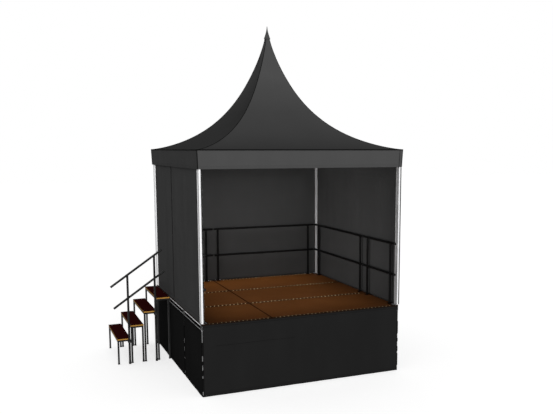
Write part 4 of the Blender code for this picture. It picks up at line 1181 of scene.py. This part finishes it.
def wall(name, start, end, seed, rests_on, covers=()):
    """A wall in one piece, with its hem and its foot flap."""
    low, high = WALL_HEIGHTS
    cloth = tent_sheet(name + "_cloth", [upright_grid(start, end, low, high, slack(low, high, seed))])
    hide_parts(name)
    hem = wall_hem(name, start, end)
    length = float(np.linalg.norm(np.array(end) - start))
    flap_start, flap_end = np.array(start), np.array(end)
    run = int(start[0] == end[0])
    flap_start[run], flap_end[run] = np.clip((start[run], end[run]), *FLAP_ENDS)
    flap = foot_flap(name, flap_start, flap_end)
    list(covers)
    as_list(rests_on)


wall("back_wall", (WALL_ENDS_X[1], DECK_SIDE - WALL_LINE), (WALL_ENDS_X[0], DECK_SIDE - WALL_LINE), 51,
     ["eave_beam_back", "tent_post_rear_left", "tent_post_rear_right"])
wall("right_wall", (DECK_SIDE - WALL_LINE, WALL_ENDS_Y[0]), (DECK_SIDE - WALL_LINE, WALL_ENDS_Y[1]), 52,
     ["eave_beam_right", "tent_post_front_right", "tent_post_rear_right"],
     [post_cover("right_post_cover", True)])

low, high = WALL_HEIGHTS
door_front, door_rear = DOOR_SIDES


def left(along, up):
    """The left wall's waves, held still by the zip and the hinge seam."""
    y = WALL_ENDS_Y[1] - along
    free = np.clip(np.minimum(abs(y - door_front), abs(y - door_rear)) / DOOR_STILL, 0, 1)
    return free * slack(low, high, 53)(along, up)


def left_grid(far, near, foot, head):
    """A part of the left wall, whose waves and flat metres run on from its neighbours'."""
    def bulge(along, up):
        return left(along + (WALL_ENDS_Y[1] - far), up)
    points, metres = upright_grid((WALL_LINE, far), (WALL_LINE, near), foot, head, bulge)
    return points, metres + (WALL_ENDS_Y[1] - far, foot - low)


left_cloth = tent_sheet("left_wall_cloth", [left_grid(door_front, WALL_ENDS_Y[0], low, DOOR_HEAD),
                                            left_grid(WALL_ENDS_Y[1], door_rear, low, DOOR_HEAD),
                                            left_grid(door_front, WALL_ENDS_Y[0], DOOR_HEAD, high),
                                            left_grid(door_rear, door_front, DOOR_HEAD, high),
                                            left_grid(WALL_ENDS_Y[1], door_rear, DOOR_HEAD, high)])
left_hem = wall_hem("left_wall", (WALL_LINE, door_front - HEM_FROM_ZIP), (WALL_LINE, WALL_ENDS_Y[0]))
left_cover = post_cover("left_post_cover", False)
left_flap = foot_flap("left_wall", (WALL_LINE, door_front - FLAP_FROM_ZIP), (WALL_LINE, FLAP_ENDS[0]))
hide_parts("left_wall")
door_grid = left_grid(door_rear - DOOR_GAP, door_front + DOOR_GAP, low, DOOR_HEAD - DOOR_GAP)
door_cloth = tent_sheet("door_cloth", [door_grid], body="door")
hinge_end = (WALL_LINE, door_rear - HEM_FROM_HINGE)
door_hem = wall_hem("door", hinge_end, (WALL_LINE, door_front + HEM_FROM_ZIP), "door")
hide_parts("door_flap")
door_flap = foot_flap("door", hinge_end, (WALL_LINE, door_front + FLAP_FROM_ZIP), "door", DOOR_FLAP_LIES)

# Zip, hinge seam and rolled hem
# A coarse black zip on woven tapes closes the door, half on the wall and half on the flap. The slider's
# pull has a ribbed grip. A doubled strip is the hinge. The right wall's spare edge is rolled up outside.

ZIP_LINE = 1.7215
ZIP_HEIGHTS = (1.0108, 3.054)
ZIP_TAPE = 0.019
ZIP_TAPE_SIDES = (0.0191, 0.0199)
TOOTH_PITCH = 0.004
TOOTH_SIDES = (0.0186, 0.0212)
TOOTH_ENDS = (-0.0004, 0.0024)  # from the zip's line, into its own half
TOOTH_HEIGHT = TOOTH_PITCH * 0.42
TAPE_GAP = 0.0003
GRIP_SIDES = (0.0118, 0.0172)
GRIP_HALF = 0.0062
GRIP_HEIGHTS = (1.0125, 1.048)
RIB_SIDES = (0.0110, 0.0122)
RIB_HALF = 0.0055
RIB_HEIGHTS = (1.018, 1.044)
RIB_STEP = 0.005
RIB_THICKNESS = 0.002
HINGE_SIDES = (2.897, 2.848)
HINGE_HEIGHTS = (WALL_HEIGHTS[0] + 0.004, DOOR_HEAD - 0.006)
HINGE_PROUD = 0.0016
ROLL_PLACE = (3.0100, 0.004)
ROLL_RADIUS = 0.009
ROLL_CORE = ROLL_RADIUS * 0.45
ROLL_ANGLE = 4.3 * pi
ROLL_TOP = VALANCE_FOOT - 0.004

zip_black = black_plastic("black_zip", 16)
dress(zip_black, "zip_slider")
zip_tape = webbing("black_zip_tape", 12)
for side, body, way in (("wall", "stage", -1), ("door", "door", 1)):
    tape = block((ZIP_TAPE_SIDES[0], ZIP_LINE + way * TAPE_GAP, ZIP_HEIGHTS[0]),
                 (ZIP_TAPE_SIDES[1], ZIP_LINE + way * ZIP_TAPE, ZIP_HEIGHTS[1]), 0.0002)
    add_piece(f"zip_tape_{side}", tape, zip_tape, body)
    tooth = block((TOOTH_SIDES[0], way * TOOTH_ENDS[0], 0.0),
                  (TOOTH_SIDES[1], way * TOOTH_ENDS[1], TOOTH_HEIGHT), 0.0003)
    first_tooth = ZIP_HEIGHTS[0] + (0.0 if way < 0 else TOOTH_PITCH / 2)
    places = [(0.0, ZIP_LINE, z) for z in np.arange(first_tooth, ZIP_HEIGHTS[1] - TOOTH_PITCH, TOOTH_PITCH)]
    add_piece(f"zip_teeth_{side}", copies(tooth, places), zip_black, body)

grip = [block((GRIP_SIDES[0], ZIP_LINE - GRIP_HALF, GRIP_HEIGHTS[0]),
              (GRIP_SIDES[1], ZIP_LINE + GRIP_HALF, GRIP_HEIGHTS[1]), 0.0012)]
for z in np.arange(*RIB_HEIGHTS, RIB_STEP):
    grip.append(block((RIB_SIDES[0], ZIP_LINE - RIB_HALF, z),
                      (RIB_SIDES[1], ZIP_LINE + RIB_HALF, z + RIB_THICKNESS), 0.0004))
add_piece("zip_grip", joined(*grip), zip_black, "zip")

hinge_start, hinge_end = ((WALL_LINE - HINGE_PROUD, y) for y in HINGE_SIDES)
hinge_grid = upright_grid(hinge_start, hinge_end, *HINGE_HEIGHTS, flat_at(0.0), 0.004, 0.024)
hinge = tent_sheet("hinge_seam", [hinge_grid], tent_hem, body=None)
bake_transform(hinge)

angles = np.linspace(0, ROLL_ANGLE, 60)
radii = np.linspace(ROLL_RADIUS, ROLL_CORE, 60)[:, None]
spiral = np.stack((np.cos(angles), np.sin(angles)), 1) * radii
heights = np.linspace(low, ROLL_TOP, 40)
roll_points = spread(ROLL_PLACE[0] + spiral[:, 0], ROLL_PLACE[1] + spiral[:, 1], heights[:, None])
turns = np.concatenate(([0.0], np.cumsum(np.linalg.norm(np.diff(spiral, axis=0), axis=1))))
roll = tent_sheet("right_wall_roll", [(roll_points, spread(turns, heights[:, None] - low))], thickness=0.0006)

# Guard rails
# Round steel tube, welded and powder coated black. The rails' ends have plastic plugs, each post is
# welded to the rails all round, and a spring button locks each foot on its spigot.

RAIL_RADIUS = 0.01685
RAIL_POST_RADIUS = 0.0165
RAIL_WELD = 0.0022
RAIL_HEIGHTS = (1.46, 1.92)
BUTTON_HEIGHT = 1.06
PLUG_PROFILE = ((0.0150, -0.001), (0.0172, 0.0003), (0.0172, 0.0028), (0.0150, 0.0048), (0.0090, 0.0058))
GUARD_RAILS = {     # the axis that each runs along, its line, its two ends and its two posts
    "back_short": (0, 2.94, (0.06, 0.98), (0.15, 0.87)),
    "back_long": (0, 2.94, (1.02, 2.90315), (1.08, 2.8)),
    "right_long": (1, 2.94, (1.02, 2.955), (1.12, 2.76)),
    "right_short": (1, 2.94, (0.02, 0.98), (0.15, 0.87)),
    "left": (1, 0.06, (0.02, 1.68), (0.15, 1.55)),
}
BUTTON_PROFILE = ((0.0045, 0.0), (0.0045, 0.0018), (0.003, 0.0028))
STAIR_FOOT_TOP = 0.02


def black_coat(name, level=24, rubber_foot=False):
    """Powder coat: an orange-peel skin on steel, rubbed a little lighter in places."""
    coat = Finish(name, Specular_IOR_Level=0.1)
    place = coat.place()
    peel = coat.noise(place, 350, 2)
    rubbed = coat.noise(place, 9, 5) ** 4
    colour = coat.blend(rubbed, tone(level), tone(level + 22))
    rough = 0.42 + peel * 0.12
    if rubber_foot:
        foot = coat.axes(place)[2] < STAIR_FOOT_TOP
        colour = coat.blend(foot, colour, RUBBER_BLACK)
        rough = rough + foot * 0.35
    coat.shade(Base_Color=colour, Roughness=rough)
    coat.bump(peel, 0.00008)
    return coat.material


def saddle_weld(post, rail_height, axis, side, slope=0.0):
    """A bead where an upright post meets a rail: above it where side is 1, and below it where it is -1."""
    angles = np.linspace(0, 2 * pi, 25)[:-1]
    radius = RAIL_POST_RADIUS + 0.0008
    along, across = radius * np.cos(angles), radius * np.sin(angles)
    rise = np.sqrt(np.maximum(RAIL_RADIUS ** 2 - np.minimum(across ** 2, RAIL_POST_RADIUS ** 2), 0.0))
    path = np.zeros((24, 3))
    path[:, axis], path[:, 1 - axis] = along, across
    path[:, 2] = along * slope + side * (rise * sqrt(1 + slope ** 2) + 0.0004)
    if axis:
        path = path[::-1]
    return swept(path + (*post, rail_height), ring(RAIL_WELD, 6), closed=True)


rail_coat = black_coat("black_rail_coat", 16)
plug_plastic = black_plastic("black_plugs", 20)
dress(rail_coat, *(f"guard_rail_{place}" for place in GUARD_RAILS))
for place, (axis, side, ends, posts) in GUARD_RAILS.items():
    def rail_spot(along, height):
        return (along, side, height) if axis == 0 else (side, along, height)

    plugs, welds = [], []
    for height in RAIL_HEIGHTS:
        for end, way in zip(ends, (-1, 1)):
            facing = (way, 0, 0) if axis == 0 else (0, way, 0)
            plugs.append(copies(turned(PLUG_PROFILE), [rail_spot(end, height)], facing))
        for post in posts:
            plan = rail_spot(post, height)[:2]
            welds.append(saddle_weld(plan, height, axis, -1))
            if height < RAIL_HEIGHTS[-1]:
                welds.append(saddle_weld(plan, height, axis, 1))
    inwards = -1 if side > 1 else 1
    for post in posts:
        spot = np.array(rail_spot(post, BUTTON_HEIGHT))
        spot[1 - axis] += inwards * (RAIL_POST_RADIUS - 0.0006)
        facing = (0, inwards, 0) if axis == 0 else (inwards, 0, 0)
        plugs.append(copies(turned(BUTTON_PROFILE), [spot], facing))
    add_piece(f"rail_plugs_{place}", joined(*plugs), plug_plastic, f"rail_{place}")
    add_piece(f"rail_welds_{place}", joined(*welds), rail_coat, f"rail_{place}")

# Stair treads
# Birch plywood with a maroon film on its faces, and the plies bare and golden round its edges. Four
# carriage bolts hold each tread to its frame.

TREAD_TOPS = (0.4, 0.6, 0.8, 1.0)
TREAD_LEFTS = (-0.833, -0.626, -0.419, -0.212)
TREAD_SIZE = (0.2, 1.0, 0.018)
STAIR_FRONT = 1.92
BOLT_IN = (0.0145, 0.07)
FILM_MAROON = tone((58, 17, 18))
FILM_WORN = tone((72, 30, 30))
PLY_LIGHT = tone((196, 150, 74))
PLY_DARK = tone((140, 96, 42))
PLY_PITCH = 0.004
CARRIAGE_PROFILE = ((0.0078, 0.0), (0.0074, 0.0012), (0.0055, 0.0024), (0.003, 0.0031))

maroon = Finish("maroon_film_plies", Specular_IOR_Level=0.0)
maroon_place = maroon.place()
facing = maroon.axes(maroon.node("ShaderNodeTexCoord", {}, output="Normal"))[2]
face = abs(facing) > 0.5
plies = maroon.axes(maroon_place)[2].repeat(PLY_PITCH) < 0.45
fibres = maroon.noise(maroon_place, 120, 3, (0.1, 0.1, 1.0))
edge_colour = maroon.blend(plies * 0.7 + fibres * 0.3, PLY_LIGHT, PLY_DARK)
worn = maroon.noise(maroon_place, 7, 5) ** 3
film_colour = maroon.blend(worn, FILM_MAROON, FILM_WORN)
maroon.shade(Base_Color=maroon.blend(face, edge_colour, film_colour),
             Roughness=0.75 - face * 0.1 + worn * 0.2)
maroon.bump(fibres * 0.4 + plies * 0.6, 0.0001)
dress(maroon.material, *(f"stair_tread_{n}" for n in range(1, 5)))

bolt_places = [(left_edge + x, STAIR_FRONT + y, top) for left_edge, top in zip(TREAD_LEFTS, TREAD_TOPS)
               for x in (BOLT_IN[0], TREAD_SIZE[0] - BOLT_IN[0])
               for y in (BOLT_IN[1], TREAD_SIZE[1] - BOLT_IN[1])]
black_zinc = plated("black_zinc", tone((62, 60, 60)))
add_piece("tread_bolts", copies(turned(CARRIAGE_PROFILE), bolt_places), black_zinc)

# Stair frames and handrail
# Welded square tube on rubber feet, coated black like the rails. Star knobs clamp the handrail's two posts
# in their sleeves, and the posts stand on rubber ferrules.

STAIR_BAR = 0.025
FRAME_INSET = 0.002
FIT_GAP = 0.0003
HANDRAIL_LINE = 1.895
HANDRAIL_POSTS = ((-0.655, 0.4), (-0.241, 0.8))      # place along X, and its tread's top
HANDRAIL_ABOVE_TREAD = 1.0
RAIL_SLOPE = 0.677
RAIL_SPACING = 0.36
MID_RAIL_SHIFT = 0.037
HANDRAIL_ENDS = (-0.905, -0.124)
SLEEVE_FRONT = 1.8715
KNOB_DROP = 0.02
KNOB_PROFILE = ((0.55, 0.006), (0.95, 0.007), (1.0, 0.010), (1.0, 0.016), (0.9, 0.019), (0.5, 0.0205))
KNOB_STEM = ((0.004, -0.001), (0.004, 0.0065))
FERRULE_PROFILE = ((0.0185, 0.0), (0.0195, 0.002), (0.0195, 0.028), (0.0178, 0.034), (0.0166, 0.034))


def black_rubber(name):
    """Moulded rubber: dark, dull and faintly pebbled."""
    rubber = Finish(name, Specular_IOR_Level=0.1)
    pebbles = rubber.noise(rubber.place(), 420, 2)
    rubber.shade(Base_Color=rubber.blend(pebbles, tone(20), tone(30)), Roughness=0.7 + pebbles * 0.2)
    rubber.bump(pebbles, 0.0001)
    return rubber.material


def star_knob(radius=0.018, lobes=6, sides=48):
    """A knob whose rim swells into lobes, on a short threaded stem."""
    points, faces = turned([(radius * share, height) for share, height in KNOB_PROFILE], sides)
    swell = 0.88 + 0.12 * np.cos(lobes * np.arctan2(points[:, 1], points[:, 0]))
    points[:, :2] *= swell[:, None]
    return joined(turned(KNOB_STEM, 12), (points, faces))


stair_coat = black_coat("black_stair_coat", 17, rubber_foot=True)
dress(stair_coat, *(f"stair_frame_{n}" for n in range(1, 5)))
handrail_coat = black_coat("black_handrail_coat", 26)
dress(handrail_coat, "stair_handrail")

welds = []
leg_in = FRAME_INSET + STAIR_BAR / 2
for left_edge, top in zip(TREAD_LEFTS, TREAD_TOPS):
    foot = top - TREAD_SIZE[2] - FIT_GAP - STAIR_BAR
    for x in (left_edge + leg_in, left_edge + TREAD_SIZE[0] - leg_in):
        for y in (STAIR_FRONT + leg_in, STAIR_FRONT + TREAD_SIZE[1] - leg_in):
            bead_path = square_loop((x, y, foot), STAIR_BAR / 2, 4, 2)
            welds.append(swept(bead_path, ring(RAIL_WELD, 6), closed=True))
add_piece("stair_welds", joined(*welds), stair_coat)

knob_places = [(x, SLEEVE_FRONT, top - TREAD_SIZE[2] - FIT_GAP - KNOB_DROP) for x, top in HANDRAIL_POSTS]
knob_plastic = black_plastic("black_knobs", 18)
add_piece("sleeve_knobs", copies(star_knob(), knob_places, (0, -1, 0)), knob_plastic)

ferrules = copies(turned(FERRULE_PROFILE, 24), [(x, HANDRAIL_LINE, 0.0) for x, _ in HANDRAIL_POSTS])
add_piece("handrail_ferrules", ferrules, black_rubber("black_ferrule_rubber"), "handrail")

plugs, welds = [], []
first_x, first_top = HANDRAIL_POSTS[0]
for drop, shift in ((0.0, 0.0), (RAIL_SPACING, MID_RAIL_SHIFT)):
    for end, way in zip(HANDRAIL_ENDS, (-1, 1)):
        x = end + shift
        height = first_top + HANDRAIL_ABOVE_TREAD + (x - first_x) * RAIL_SLOPE - drop
        plugs.append(copies(turned(PLUG_PROFILE), [(x, HANDRAIL_LINE, height)], (way, 0, way * RAIL_SLOPE)))
    for x, _ in HANDRAIL_POSTS:
        height = first_top + HANDRAIL_ABOVE_TREAD + (x - first_x) * RAIL_SLOPE - drop
        welds.append(saddle_weld((x, HANDRAIL_LINE), height, 0, -1, RAIL_SLOPE))
        if drop:
            welds.append(saddle_weld((x, HANDRAIL_LINE), height, 0, 1, RAIL_SLOPE))
add_piece("handrail_plugs", joined(*plugs), plug_plastic, "handrail")
add_piece("handrail_welds", joined(*welds), handrail_coat, "handrail")

low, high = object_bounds()
